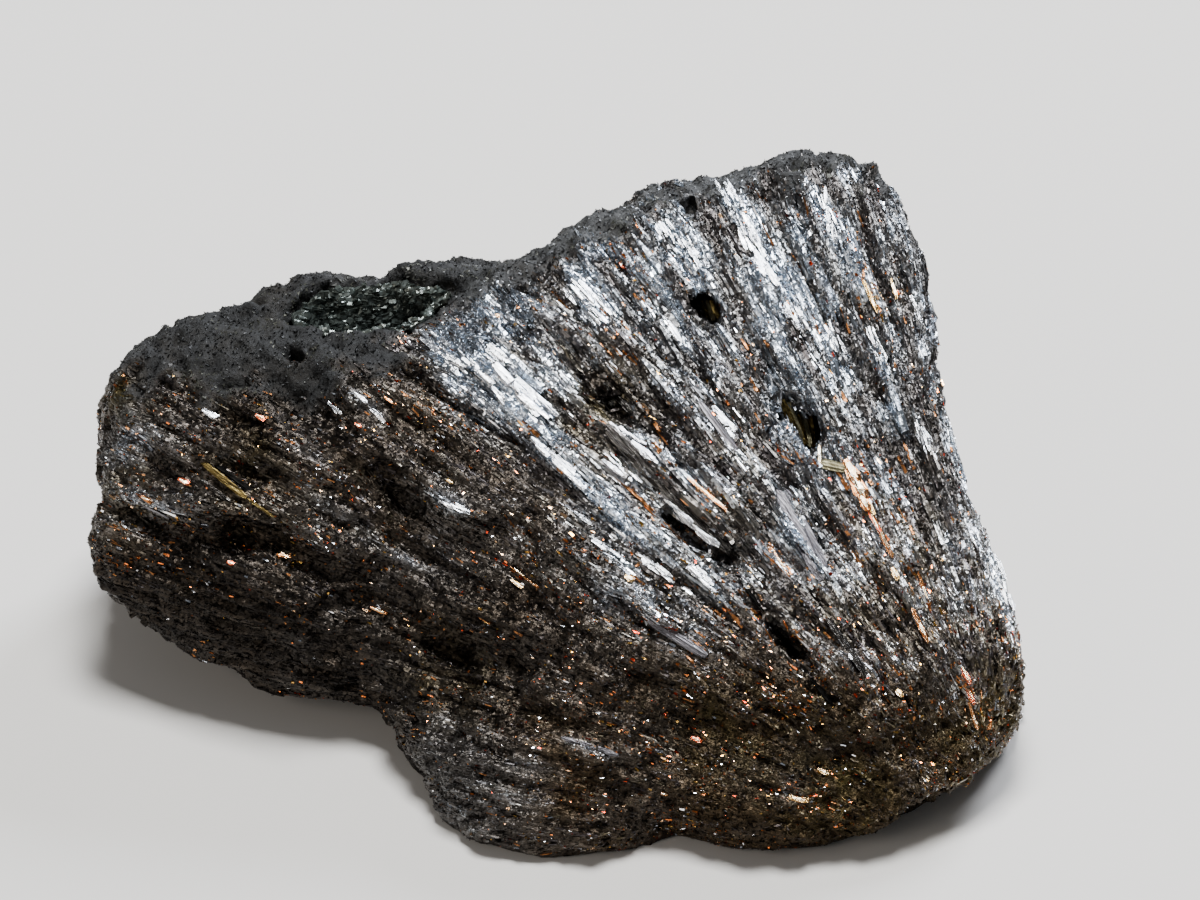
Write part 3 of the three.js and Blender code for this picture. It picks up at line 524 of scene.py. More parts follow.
def body_surface():
    """The CAD mass, remeshed fine, with bundles, troughs and grain, and a crumbly crust."""
    body = new_object("mass_surface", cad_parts["stibnite_mass"].data.copy())
    modified(body, "REMESH", mode="VOXEL", voxel_size=BODY_VOXEL * MM)
    mesh = body.data

    # Which part of the lump each point is in: its front, the crust, the fan or the left face.
    place, normal = mesh_arrays(mesh)
    u, v, _ = to_display(place)
    front = smoothstep(-0.1, 0.2, normal @ TO_VIEWER)
    crust = crust_weight(place)
    bronze, bright, coarse = zone_values(place)
    fan = smoothstep(-2, 2, v - np.interp(u, *zip(*FAN_EDGE)))
    left = (1 - fan) * smoothstep(1, -1, u + 7)
    granular = smoothstep(0.35, 0.75, bronze) * (1 - 0.55 * left)

    # Bundles and grain among the blades, crumbs and pits on the crust, and a flat base.
    relief, bundle = relief_of_bundles(place, normal)
    tone, roll, shine = bundle.T
    relief = relief * (1 - 0.5 * granular) + 0.32 * granular * noise_at(place + 5, 1.2, 3)
    relief += 0.1 * noise_at(place + 5, 0.9, 3) - front * marks_along_spray(u, v, TROUGHS, DEPTH)
    crumbs = noise_at(place, 1.2, 4)
    knobs = noise_at(place + 9, 3.2, 2)
    pits = np.clip(-0.2 - noise_at(place + 31, 1.3), 0, 1)
    push = (1 - crust) * (relief - 0.02) + crust * (0.42 * crumbs + 0.45 * knobs - 1.6 * pits - 0.05)
    place = place + normal * (push * smoothstep(0, 1.2, place[:, 2]))[:, None]
    set_places(mesh, place)

    # How open each point of the new surface is, how bright, how tarnished and how dusted.
    place, normal = mesh_arrays(mesh)
    above_worn = dots(place - worn_smooth(body, 30), normal)
    open_face = smoothstep(-0.55, -0.1, above_worn)
    u, v, _ = to_display(place)
    facing = normal @ TO_VIEWER
    front = smoothstep(-0.15, 0.1, facing)
    off_base = smoothstep(0.25, 0.9, place[:, 2])
    blades = (1 - crust) * off_base * (0.25 + 0.75 * open_face)
    streak = marks_along_spray(u, v, STREAKS, BRIGHT) * front
    patches = 0.6 * noise_at(place + 71, 3.4, 2) + 0.9 * noise_at(along_spray(place, 1.3, 4) + 7, 1.0, 2)
    # Bundles with the highest shine are painted lighter, as painted flashes of light, and those with the
    # lowest a little darker. Bright may go down to -0.3, which is painted shade.
    flashes = smoothstep(0.82, 0.86, shine) - 0.5 * smoothstep(0.34, 0.3, shine)
    bright = np.clip(bright * (1 + 1.1 * patches + 0.4 * flashes) + 0.9 * streak, -0.3, 1)
    oxide = sum(strength * spot(u, v, u0, v0, reach) for _, u0, v0, reach, strength in OXIDE)
    oxide = oxide * front * (0.7 + noise_at(place + 17, 1.6, 3))
    bronze = np.clip(bronze - 0.6 * streak + 0.3 * noise_at(place + 91, 5.0, 2), 0, 1)
    clusters = smoothstep(0.1, 0.45, noise_at(place + 57, 3.4, 2))
    swarms = smoothstep(0.05, 0.5, noise_at(place + 133, 2.2, 2))
    coppery = marks_along_spray(u, v, STREAKS, COPPER) * front + clusters * (0.2 + 0.5 * bronze) + 0.05
    catching = front * blades * open_face
    sparkling = (0.1 + 0.9 * swarms) * (0.3 + 0.7 * bronze + granular) * smoothstep(-0.3, 0.1, bright)

    # What the materials read.
    store(mesh, crust=crust, bronze=bronze, bright=bright, hollow=1 - open_face,
          copper=np.clip(coppery, 0, 1), oxide=np.clip(oxide, 0, 1))
    # What the blades read: their size, their bundle, and where each kind of them grows.
    store(mesh, coarse=coarse * (0.55 + 0.45 * smoothstep(0.1, 0.55, facing)),
          bundle_roll=roll, bundle_tone=tone,
          fan=front * fan * blades, left=front * left * blades,
          toe=front * (1 - fan) * (1 - left) * blades, back=(1 - front) * blades,
          grains=smoothstep(0.02, 0.5, crust) * off_base, needles=catching * smoothstep(0.55, 0.9, bright),
          glints=catching * coppery, sparks=catching * sparkling)
    for face in mesh.polygons:
        face.use_smooth = True
    return body


# ---- one helper for the nodes of every tree ----

MATH = "ShaderNodeMath"
VECTOR = "ShaderNodeVectorMath"
RANDOM = "FunctionNodeRandomValue"
RAMP = "ShaderNodeValToRGB"
MIX = "ShaderNodeMix"


def colour(hex_code):
    """A colour written as sRGB hex, in the linear values that shaders take."""
    parts = [int(hex_code[i:i + 2], 16) / 255 for i in (1, 3, 5)]
    return tuple(c / 12.92 if c <= 0.04045 else ((c + 0.055) / 1.055) ** 2.4 for c in parts) + (1.0,)


def add(tree, kind, *values, named=None, stops=None, out=0, **settings):
    """Adds a node with its settings, fills or links its inputs in order and by name, and gives one output.

    None leaves an input as it is. stops are a colour ramp's places and shades. out=None gives the node.
    """
    made = tree.nodes.new(kind)
    for key, value in settings.items():
        setattr(made, key, value)
    live = [socket for socket in made.inputs if socket.enabled]
    pairs = list(zip(live, values))
    pairs += [(next(s for s in live if s.name == name), value) for name, value in (named or {}).items()]
    for socket, value in pairs:
        if isinstance(value, bpy.types.NodeSocket):
            tree.links.new(value, socket)
        elif value is not None:
            socket.default_value = colour(value) if isinstance(value, str) and value[0] == "#" else value
    if stops:
        elements = made.color_ramp.elements
        while len(elements) < len(stops):
            elements.new(0.5)
        for element, (place, shade) in zip(elements, stops):
            element.position = place
            element.color = colour(shade) if isinstance(shade, str) else (shade, shade, shade, 1)
    shown = [socket for socket in made.outputs if socket.enabled]
    if out is None or not shown:
        return made
    return shown[out] if isinstance(out, int) else next(s for s in shown if s.name == out)


# ---- blades, grown on the body by geometry nodes ----


def skin(shape, rings):
    """Joins rings of corners, one after the other, to a closed solid, and gives its faces."""
    faces = [shape.faces.new(list(reversed(rings[0]))), shape.faces.new(rings[-1])]
    for a, b in zip(rings, rings[1:]):
        for i in range(len(a)):
            j = (i + 1) % len(a)
            faces.append(shape.faces.new((a[i], a[j], b[j], b[i])))
    return faces


def solid(name, shape):
    """The object that a shape in the making becomes, with its faces turned outwards."""
    bmesh.ops.recalc_face_normals(shape, faces=shape.faces)
    mesh = bpy.data.meshes.new(name)
    shape.to_mesh(mesh)
    shape.free()
    return new_object(name, mesh)


def prism(name, section, stations):
    """A closed solid along X with that outline in (y, z).

    A station has the x of the outline's lowest point, the outline's scale, and the x of its highest point.
    """
    shape = bmesh.new()
    top = max(z for _, z in section)
    low = min(z for _, z in section)
    rings = []
    for x_low, scale, x_high in stations:
        shares = [(z - low) / (top - low) for _, z in section]
        rings.append([shape.verts.new((x_low + (x_high - x_low) * share, y * scale, z * scale))
                      for (y, z), share in zip(section, shares)])
    skin(shape, rings)
    return solid(name, shape)


def shard(name):
    """The smallest chip: a four-faced splinter whose widest face lies just above z = 0."""
    mesh = bpy.data.meshes.new(name)
    corners = [(-0.5, -0.4, 0.1), (-0.3, 0.5, 0.16), (0.5, -0.1, 0.02), (-0.05, 0.02, -0.7)]
    mesh.from_pydata(corners, [], [(0, 2, 1), (0, 3, 2), (2, 3, 1), (1, 3, 0)])
    return new_object(name, mesh)


# Sections of a slat, of a chip and of a plank: most of each lies below the face, which is at z = 0.
SLAT = [(0.02, -0.8), (0.5, 0.06), (-0.46, 0.14)]
CHIP = [(-0.06, -0.75), (0.48, 0.02), (-0.44, 0.2)]
HEXAGON = [(-0.3, -0.7), (0.3, -0.7), (0.5, -0.1), (0.24, 0.3), (-0.3, 0.3), (-0.5, -0.15)]

# The section of a crystal of the vug.
RHOMB = [(0, -0.5), (0.42, 0), (0, 0.5), (-0.42, 0)]


def new_tree(name, inputs):
    """An empty geometry tree with named inputs, and the sockets that carry them."""
    tree = bpy.data.node_groups.new(name, "GeometryNodeTree")
    tree.interface.new_socket("Geometry", in_out="OUTPUT", socket_type="NodeSocketGeometry")
    for label, kind in inputs:
        tree.interface.new_socket(label, in_out="INPUT", socket_type="NodeSocket" + kind)
    return tree, tree.nodes.new("NodeGroupInput").outputs


def scatter(tree, given):
    """The node that spreads points over the host, as thick as it is marked."""
    where = add(tree, "GeometryNodeInputNamedAttribute", given["Where"], data_type="FLOAT")
    density = add(tree, MATH, where, given["Per square metre"], operation="MULTIPLY")
    return add(tree, "GeometryNodeDistributePointsOnFaces", given["Geometry"],
               named={"Density": density, "Seed": given["Seed"]}, distribute_method="RANDOM", out=None)


def plant(tree, given, points, offset, turned, size, **numbers):
    """Sets a blade on each point, which carries those numbers, and ends the tree."""
    moved = add(tree, "GeometryNodeSetPosition", points.outputs["Points"], named={"Offset": offset})
    blade = add(tree, "GeometryNodeObjectInfo", given["Blade"], out="Geometry")
    shape = add(tree, "GeometryNodeInstanceOnPoints", moved,
                named={"Instance": blade, "Rotation": turned, "Scale": size})
    for name, value in numbers.items():
        shape = add(tree, "GeometryNodeStoreNamedAttribute", shape, named={"Name": name, "Value": value},
                    data_type="FLOAT", domain="INSTANCE")
    shape = add(tree, "GeometryNodeRealizeInstances", shape)
    shape = add(tree, "GeometryNodeSetMaterial", shape, named={"Material": given["Finish"]})
    add(tree, "NodeGroupOutput", shape)


def blade_tree():
    """Places blades on the faces of a host and turns each along the spray."""
    tree, given = new_tree("Blades along the spray", [
        ("Geometry", "Geometry"), ("Blade", "Object"), ("Finish", "Material"), ("Where", "String"),
        ("Per square metre", "Float"), ("Seed", "Int"), ("Apex", "Vector"), ("Shortest", "Vector"),
        ("Longest", "Vector"), ("Bundle roll", "Float"), ("Roll", "Float"), ("Pitch", "Float"),
        ("Stray", "Float"), ("Lift", "Float"), ("Lean", "Vector"),
    ])

    # Numbers that the host's mesh carries.
    coarse, bundle_roll, bundle_tone = (
        add(tree, "GeometryNodeInputNamedAttribute", name, data_type="FLOAT")
        for name in ("coarse", "bundle_roll", "bundle_tone"))

    # Random draws for each blade, every one of them with a seed of its own.
    draws = {}
    for name, step, low, high in (
        ("size", 9, (0, 0, 0), (1, 1, 1)), ("wander", 5, (-1, -1, -1), (1, 1, 1)),
        ("roll", 1, -1.0, 1.0), ("pitch", 2, -0.4, 1.0), ("lift", 3, -1.0, 1.0),
        ("tone", 11, 0.0, 0.35), ("tint", 12, 0.0, 1.0),
    ):
        seed = add(tree, MATH, given["Seed"], step, operation="ADD")
        draws[name] = add(tree, RANDOM, low, high, named={"Seed": seed},
                          data_type="FLOAT_VECTOR" if isinstance(low, tuple) else "FLOAT")

    points = scatter(tree, given)
    outward = points.outputs["Normal"]
    position = add(tree, "GeometryNodeInputPosition")
    ray = add(tree, VECTOR, position, given["Apex"], operation="SUBTRACT")
    away = add(tree, VECTOR, ray, operation="NORMALIZE")

    # Small sizes are commoner than large ones.
    chance = add(tree, VECTOR, draws["size"], draws["size"], operation="MULTIPLY")
    spread = add(tree, VECTOR, given["Longest"], given["Shortest"], operation="SUBTRACT")
    size = add(tree, VECTOR, chance, spread, given["Shortest"], operation="MULTIPLY_ADD")
    size = add(tree, VECTOR, size, named={"Scale": coarse}, operation="SCALE")
    length = add(tree, "ShaderNodeSeparateXYZ", size)

    # Blades follow the spray, and their two ends lie on the face.
    into = add(tree, VECTOR, away, outward, operation="DOT_PRODUCT")
    flat = add(tree, VECTOR, away, add(tree, VECTOR, outward, named={"Scale": into}, operation="SCALE"),
               operation="SUBTRACT")
    half = add(tree, VECTOR, add(tree, VECTOR, flat, operation="NORMALIZE"),
               named={"Scale": add(tree, MATH, length, 0.5, operation="MULTIPLY")}, operation="SCALE")
    ends = [add(tree, "GeometryNodeSampleNearestSurface", given["Geometry"], position, out="Value",
                named={"Sample Position": add(tree, VECTOR, position, half, operation=way)},
                data_type="FLOAT_VECTOR") for way in ("ADD", "SUBTRACT")]
    chord = add(tree, VECTOR, add(tree, VECTOR, *ends, operation="SUBTRACT"), operation="NORMALIZE")
    middle = add(tree, VECTOR, add(tree, VECTOR, *ends, operation="ADD"),
                 named={"Scale": 0.5}, operation="SCALE")
    settle = add(tree, VECTOR, middle, position, operation="SUBTRACT")
    settle = add(tree, VECTOR, settle, named={"Scale": 0.6}, operation="SCALE")
    wander = add(tree, VECTOR, draws["wander"], named={"Scale": given["Stray"]}, operation="SCALE")
    heading = add(tree, VECTOR, chord, wander, operation="ADD")
    leaning = add(tree, VECTOR, outward, given["Lean"], operation="ADD")
    turned = add(tree, "FunctionNodeAlignRotationToVector",
                 named={"Vector": heading}, axis="X", pivot_axis="AUTO")
    turned = add(tree, "FunctionNodeAlignRotationToVector", turned,
                 named={"Vector": leaning}, axis="Z", pivot_axis="X")

    # Blades in one bundle share a roll and a tone.
    shared = add(tree, MATH, bundle_roll, 0.5, operation="SUBTRACT")
    shared = add(tree, MATH, shared, given["Bundle roll"], operation="MULTIPLY")
    roll = add(tree, MATH, draws["roll"], given["Roll"], shared, operation="MULTIPLY_ADD")
    pitch = add(tree, MATH, draws["pitch"], given["Pitch"], operation="MULTIPLY")
    tilt = add(tree, "FunctionNodeEulerToRotation", add(tree, "ShaderNodeCombineXYZ", roll, pitch))
    turned = add(tree, "FunctionNodeRotateRotation", turned, tilt, rotation_space="LOCAL")

    lift = add(tree, MATH, draws["lift"], given["Lift"], operation="MULTIPLY")
    offset = add(tree, VECTOR, settle, add(tree, VECTOR, outward, named={"Scale": lift}, operation="SCALE"),
                 operation="ADD")
    tone = add(tree, MATH, bundle_tone, 1.2, draws["tone"], operation="MULTIPLY_ADD")
    plant(tree, given, points, offset, turned, size, tone=tone, tint=draws["tint"])
    return tree


def crystal_tree():
    """Lines the walls of a host with small crystals that point out of them."""
    tree, given = new_tree("Crystals on a wall", [
        ("Geometry", "Geometry"), ("Blade", "Object"), ("Finish", "Material"), ("Where", "String"),
        ("Per square metre", "Float"), ("Seed", "Int"), ("Shortest", "Vector"), ("Longest", "Vector"),
        ("Stray", "Float"), ("Lift", "Float"),
    ])
    points = scatter(tree, given)
    outward = points.outputs["Normal"]
    stray = add(tree, RANDOM, (-1, -1, -1), (1, 1, 1), named={"Seed": given["Seed"]},
                data_type="FLOAT_VECTOR")
    stray = add(tree, VECTOR, stray, named={"Scale": given["Stray"]}, operation="SCALE")
    heading = add(tree, VECTOR, outward, stray, operation="ADD")
    turned = add(tree, "FunctionNodeAlignRotationToVector",
                 named={"Vector": heading}, axis="Z", pivot_axis="AUTO")
    size = add(tree, RANDOM, given["Shortest"], given["Longest"],
               named={"Seed": add(tree, MATH, given["Seed"], 1, operation="ADD")}, data_type="FLOAT_VECTOR")
    offset = add(tree, VECTOR, outward, named={"Scale": given["Lift"]}, operation="SCALE")
    plant(tree, given, points, offset, turned, size)
    return tree


def grow(name, tree, host, blade, finish, **settings):
    """Every blade of one kind in one part of the host, as a plain mesh.

    The settings are the tree's inputs in small letters, with lengths in mm.
    """
    piece = new_object(name, host.data.copy())
    grower = piece.modifiers.new("Blades", "NODES")
    grower.node_group = tree
    values = {"Blade": blade, "Finish": finish, "Apex": list(APEX * MM)}
    values.update({key.replace("_", " ").capitalize(): value for key, value in settings.items()})
    for item in tree.interface.items_tree:
        if item.in_out == "INPUT" and item.name in values:
            value = values[item.name]
            if item.name in ("Shortest", "Longest"):
                value = [length * MM for length in value]
            elif item.name == "Lift":
                value *= MM
            grower[item.identifier] = value
    apply_modifiers(piece)
    for face in piece.data.polygons:
        face.use_smooth = False
    place, _ = mesh_arrays(piece.data)
    set_places(piece.data, place)
    return piece


# A large blade's width along its length, as shares of both. One up to this length in mm has fewer faces.
LONG = ((-0.5, 0.55), (-0.36, 0.95), (-0.1, 1.0), (0.2, 0.96), (0.42, 0.8), (0.5, 0.5))
SHORT = ((-0.5, 0.6), (-0.2, 1.0), (0.5, 0.6))
SHORT_UP_TO = 2

# The underside of a large blade, how far its back bulges, the ridges on it, the wobble of its sides and how
# far it is sunk, in shares of its width, and how ragged its ends are, in shares of its length.
KEEL = [(0.34, -0.55), (-0.34, -0.55)]
BULGE, RIDGES, WOBBLE, SUNK = 0.16, 0.07, 0.04, 0.05
RAGGED = 0.03


def striated_blade(shape, place, length, width, finish, random):
    """Adds a blade with ridges along its back and ragged ends, and gives its corners."""
    long = length > SHORT_UP_TO * MM
    sides = np.linspace(-0.5, 0.5, 8 if long else 4)
    back = BULGE * (1 - (2 * sides) ** 2) + random.uniform(-RIDGES, RIDGES, len(sides))
    section = KEEL + list(zip(sides, back))
    rings = []
    for x, scale in LONG if long else SHORT:
        ring = []
        for y, z in section:
            ragged = random.uniform(-RAGGED, RAGGED) if abs(x) == 0.5 else 0
            wobble = 1 + random.uniform(-WOBBLE, WOBBLE)
            ring.append(shape.verts.new(place @ Vector((
                (x + ragged) * length, y * scale * wobble * width, (z * scale - SUNK) * width))))
        rings.append(ring)
    for face in skin(shape, rings):
        face.material_index = finish
    return sum(rings, [])


# How far the large blades of a finish lean towards the light. The others lie as the face does.
CATCHES_LIGHT = {"copper": 5, "gold": 5, "red": 5, "white": 6, "silver": 2.2}

# How far round a large blade the face is averaged, and the most that it is let down to touch it, in mm.
AVERAGED_OVER = 1.6
LET_DOWN_BY = 0.6
LET_DOWN_STEP = 0.05

# A blade lifted more than this, in mm, stands on a pit's wall, and is lifted towards the viewer.
WALL_LIFT = 0.6


def snapped(blades, random):
    """The blades as they are listed, but each silver one as the several splinters that it has snapped into.

    A tarnished one that catches the light has a near-white flake on it, a painted highlight.
    """
    for _, u, v, length, width, turn, lift, finish in blades:
        if finish != "silver":
            yield u, v, length, width, turn, lift, finish
            # Its painted highlight: a near-white flake laid on its middle.
            if finish in CATCHES_LIGHT and finish != "white":
                yield u, v, length * 0.65, width * 0.5, turn, lift + 0.14 * width, "white"
            continue
        along = spray_at(u, v)
        across = np.array([along[1], -along[0]])
        lean = math.tan(math.radians(turn))
        for _ in range(4 + round(5 * length * width)):
            x, y = random.uniform(-0.42, 0.42, 2)
            place = np.array([u, v]) + along * x * length + across * (y * width * 1.4 + lean * x * length)
            piece = random.uniform(0.5, 1.2) + 0.2 * length * random.uniform()
            yield (*place, piece, piece * random.uniform(0.16, 0.32), turn + random.uniform(-4, 4),
                   lift * random.uniform(0.4, 1.0), finish)


def gap_below(surface, corners, outward):
    """How far a blade has to go down before one of its corners is in the face."""
    for gap in np.arange(0, LET_DOWN_BY, LET_DOWN_STEP) * MM:
        for corner in corners:
            lowered = corner.co - outward * gap
            nearest, normal, _, _ = surface.find_nearest(lowered)
            if (lowered - nearest).dot(normal) < 0:
                return gap
    return gap


def large_blades(host, finishes):
    """The blades large enough to be told apart, each set on the host's face along the spray."""
    surface = BVHTree.FromObject(host, bpy.context.evaluated_depsgraph_get())
    random = np.random.default_rng(5)
    shape = bmesh.new()
    names = list(finishes)
    gap = 0.0
    for u, v, length, width, turn, lift, finish in snapped(LARGE_BLADES, random):
        # Where the sight through (u, v) meets the face, and the way that the face looks there.
        viewer = Vector(from_display(u, v, 70) * MM)
        hit, *_ = surface.ray_cast(viewer, Vector(-TO_VIEWER))
        near = surface.find_nearest_range(hit, AVERAGED_OVER * MM)
        outward = sum((normal for _, normal, _, _ in near), Vector()).normalized()
        if lift > WALL_LIFT:
            outward = Vector(TO_VIEWER)

        # Along the spray and turned off it, with both ends on the face.
        away = hit - Vector(APEX * MM)
        level = (away - outward * away.dot(outward)).normalized()
        level.rotate(Quaternion(outward, math.radians(-turn)))
        low, high = (surface.find_nearest(hit + level * (share * length * MM))[0] for share in (-0.45, 0.45))
        along = (high - low).normalized()

        # Leaning towards the light. A short one swings its whole length to it.
        up = (outward + CATCHES_LIGHT.get(finish, 0) * Vector(FLASH)).normalized()
        if length < SHORT_UP_TO:
            along = (along - up * along.dot(up)).normalized()
        up = (up - along * up.dot(along)).normalized()
        axes = Matrix((along, up.cross(along), up)).transposed().to_4x4()

        seat = hit if lift > WALL_LIFT else (hit + (low + high) / 2) / 2
        place = Matrix.Translation(seat + outward * lift * MM) @ axes
        corners = striated_blade(shape, place, length * MM, width * MM, names.index(finish), random)
        # A white flake goes down as far as the blade before it, which it lies on.
        if finish != "white":
            gap = gap_below(surface, corners, outward)
        for corner in corners:
            corner.co -= outward * gap
    blades = solid("large_blades", shape)
    for material in finishes.values():
        blades.data.materials.append(material)
    return blades


# ---- materials ----


def new_material(name, *carried):
    """An empty material, its tree, and the numbers of those names that the piece's mesh carries."""
    made = bpy.data.materials.new(name)
    made.use_nodes = True
    tree = made.node_tree
    tree.nodes.clear()
    numbers = [add(tree, "ShaderNodeAttribute", attribute_type="GEOMETRY", attribute_name=each, out="Fac")
               for each in carried]
    return made, tree, *numbers


def grain_of(tree, size, detail=3.0):
    """Noise with features of that size in mm."""
    place = add(tree, "ShaderNodeTexCoord", out="Object")
    return add(tree, "ShaderNodeTexNoise", place,
               named={"Scale": 1 / (size * MM), "Detail": detail, "Roughness": 0.65})


def spray_of(tree, across, along):
    """The place along the spray, in steps of that width and length in mm."""
    place = add(tree, "ShaderNodeTexCoord", out="Object")
    ray = add(tree, VECTOR, place, tuple(APEX * MM), operation="SUBTRACT")
    distance = add(tree, VECTOR, ray, operation="LENGTH")
    away = add(tree, VECTOR, ray, operation="NORMALIZE")
    reach = add(tree, MATH, distance, 1 / (along * MM), TRUE_WIDTH_AT / across, operation="MULTIPLY_ADD")
    return add(tree, VECTOR, away, named={"Scale": reach}, operation="SCALE")


def streaks_of(tree, across, along):
    """Noise in streaks along the blades, of that width and length in mm."""
    return add(tree, "ShaderNodeTexNoise", spray_of(tree, across, along),
               named={"Scale": 1.0, "Detail": 3.0, "Roughness": 0.65})


def facets_of(tree, place):
    """A height that tips each small cell of the face its own way, as cleavage steps do."""
    cell = add(tree, "ShaderNodeTexVoronoi", place, named={"Scale": 1.0}, out=None)
    tip = add(tree, VECTOR, cell.outputs["Color"], (0.5, 0.5, 0.5), operation="SUBTRACT")
    off_centre = add(tree, VECTOR, place, cell.outputs["Position"], operation="SUBTRACT")
    return add(tree, VECTOR, tip, off_centre, operation="DOT_PRODUCT")


def grains_of(tree, size):
    """Such cells of the same size every way, in mm."""
    place = add(tree, "ShaderNodeTexCoord", out="Object")
    return facets_of(tree, add(tree, VECTOR, place, named={"Scale": 1 / (size * MM)}, operation="SCALE"))


def coat(tree, base, metallic, roughness, height, depth, strength):
    """The surface itself: colour and finish, with a fine relief of that depth in mm."""
    bump = add(tree, "ShaderNodeBump", named={"Strength": strength, "Distance": depth * MM, "Height": height})
    shader = add(tree, "ShaderNodeBsdfPrincipled", named={
        "Base Color": base, "Metallic": metallic, "Roughness": roughness, "Normal": bump})
    add(tree, "ShaderNodeOutputMaterial", named={"Surface": shader})


def blade_material():
    """Stibnite blades. The eye gets lead grey faces that flash silver, dulled to brown by tarnish."""
    made, tree, bright, bronze, oxide, copper, tone, tint = new_material(
        "stibnite_blades", "bright", "bronze", "oxide", "copper", "tone", "tint")
    streak = streaks_of(tree, 0.3, 2.5)
    # How light each blade is painted. Through bright this carries painted shade where bright is below 0, and
    # the painted light and shade of the later streaks.
    lit = add(tree, MATH, bright, 0.75, -0.42, operation="MULTIPLY_ADD")
    lit = add(tree, MATH, tone, 0.4, lit, operation="MULTIPLY_ADD")
    lit = add(tree, MATH, streak, 0.45, lit, operation="MULTIPLY_ADD")
    clean = add(tree, RAMP, lit, stops=[
        (0.05, "#423e3d"), (0.3, "#595655"), (0.55, "#757677"), (0.85, "#c6d2e0")])
    brown = add(tree, RAMP, lit, stops=[
        (0.08, "#0d0c08"), (0.28, "#373023"), (0.55, "#706757"), (0.9, "#c8c4ba")])
    lilac = add(tree, RAMP, lit, stops=[
        (0.08, "#0f0d0e"), (0.28, "#3a3436"), (0.55, "#6e686a"), (0.9, "#b0acb0")])
    olive = add(tree, RAMP, lit, stops=[
        (0.08, "#0e0c07"), (0.28, "#38321c"), (0.55, "#6a5e38"), (0.9, "#a8986a")])
    tints = streaks_of(tree, 1.6, 6)
    to_lilac = add(tree, RAMP, tints, stops=[(0.5, 0.0), (0.58, 1.0)])
    to_olive = add(tree, RAMP, tints, stops=[(0.36, 0.7), (0.42, 0.0)])
    tarnished = add(tree, MIX, to_lilac, brown, lilac, data_type="RGBA")
    tarnished = add(tree, MIX, to_olive, tarnished, olive, data_type="RGBA")
    base = add(tree, MIX, bronze, clean, tarnished, data_type="RGBA")
    base = add(tree, MIX, oxide, base, olive, data_type="RGBA")
    # Up to one blade in seven is copper.
    chance = add(tree, MATH, copper, 0.14, operation="MULTIPLY")
    coppery = add(tree, MATH, tint, chance, operation="LESS_THAN")
    base = add(tree, MIX, coppery, base, "#b07648", data_type="RGBA")
    rough = add(tree, MATH, bright, -0.16, 0.26, operation="MULTIPLY_ADD")
    rough = add(tree, MATH, streak, 0.28, rough, operation="MULTIPLY_ADD")
    height = add(tree, MATH, streak, 0.5, grains_of(tree, 0.26), operation="MULTIPLY_ADD")
    coat(tree, base, 1.0, rough, height, 0.16, 0.75)
    return made


def splinter_material():
    """Freshly split stibnite. The eye gets narrow silver splinters that catch the light."""
    made, tree = new_material("clean_splinters")
    streak = streaks_of(tree, 0.2, 2.0)
    base = add(tree, RAMP, streak, stops=[(0.3, "#7c7f85"), (0.6, "#d8dbe0")])
    coat(tree, base, 1.0, 0.2, facets_of(tree, spray_of(tree, 0.2, 1.2)), 0.05, 0.8)
    return made


def glint_material():
    """Tarnished flakes. The eye gets sparks of copper, gold and red, and a few of silver."""
    made, tree, tint = new_material("tarnish_glints", "tint")
    base = add(tree, RAMP, tint, stops=[
        (0.0, "#d8783c"), (0.28, "#d0a050"), (0.46, "#c03c20"), (0.54, "#e8bc90"), (0.72, "#d8dce4")])
    base.node.color_ramp.interpolation = "CONSTANT"
    coat(tree, base, 1.0, 0.18, grains_of(tree, 0.2), 0.06, 0.4)
    return made


# The large blades' finishes: the material's name, its shades from dark to light, and its roughness.
LARGE_BLADE_LOOKS = {
    # Black is painted shadow, laid in the long groove and in the gap beside the left blade.
    "black": ("painted_shadow_blades", ["#080808", "#0f0f0e", "#1c1b19"], 0.5),
    "dull": ("tarnished_blades", ["#131211", "#353230", "#8c8a86"], 0.26),
    "olive": ("yellowed_blades", ["#1e1a0e", "#57492a", "#a6945c"], 0.4),
    "grey": ("matt_grey_blades", ["#3a383a", "#626064", "#8e8c90"], 0.38),
    "pale": ("oxide_crusted_blades", ["#4c4836", "#7c765c", "#a8a284"], 0.5),
    "silver": ("silver_blades", ["#83878f", "#c8ccd2", "#ffffff"], 0.2),
    # White: the white splinter, and the near-white flakes laid on copper, gold and red blades as painted
    # highlights.
    "white": ("flashing_blades", ["#f0a868", "#ffecc4", "#fffcf0"], 0.2),
    "copper": ("copper_blades", ["#8a4420", "#e09858", "#ffe8cc"], 0.18),
    "gold": ("gold_blades", ["#8a6428", "#e0b468", "#fff4dc"], 0.18),
    "red": ("red_blades", ["#8a2410", "#e0663c", "#ffd0b4"], 0.18),
}


def large_blade_material(name, shades, roughness):
    """A large blade's finish. The eye gets fine lengthwise lines, dark to light, in the blade's colour."""
    made, tree = new_material(name)
    streak = streaks_of(tree, 0.16, 4.0)
    base = add(tree, RAMP, streak, stops=list(zip((0.3, 0.5, 0.68), shades)))
    rough = add(tree, MATH, streak, -0.2, roughness + 0.1, operation="MULTIPLY_ADD")
    facets = facets_of(tree, spray_of(tree, 0.35, 2.4))
    coat(tree, base, 1.0, rough, add(tree, MATH, streak, 0.7, facets, operation="MULTIPLY_ADD"), 0.12, 0.9)
    return made


def crust_grain_material():
    """Grains of the crust. The eye gets dull charcoal crumbs, a few of them brown."""
    made, tree, tone, bright = new_material("crust_grains", "tone", "bright")
    base = add(tree, RAMP, tone, stops=[
        (0.1, "#070809"), (0.6, "#131415"), (0.9, "#232526"), (1.0, "#45463f")])
    lit = add(tree, RAMP, bright, stops=[(0.25, 0.0), (0.7, 0.55)])
    base = add(tree, MIX, lit, base, "#6c6e70", data_type="RGBA")
    coat(tree, base, 0.4, 0.45, grains_of(tree, 0.2), 0.08, 0.8)
    return made


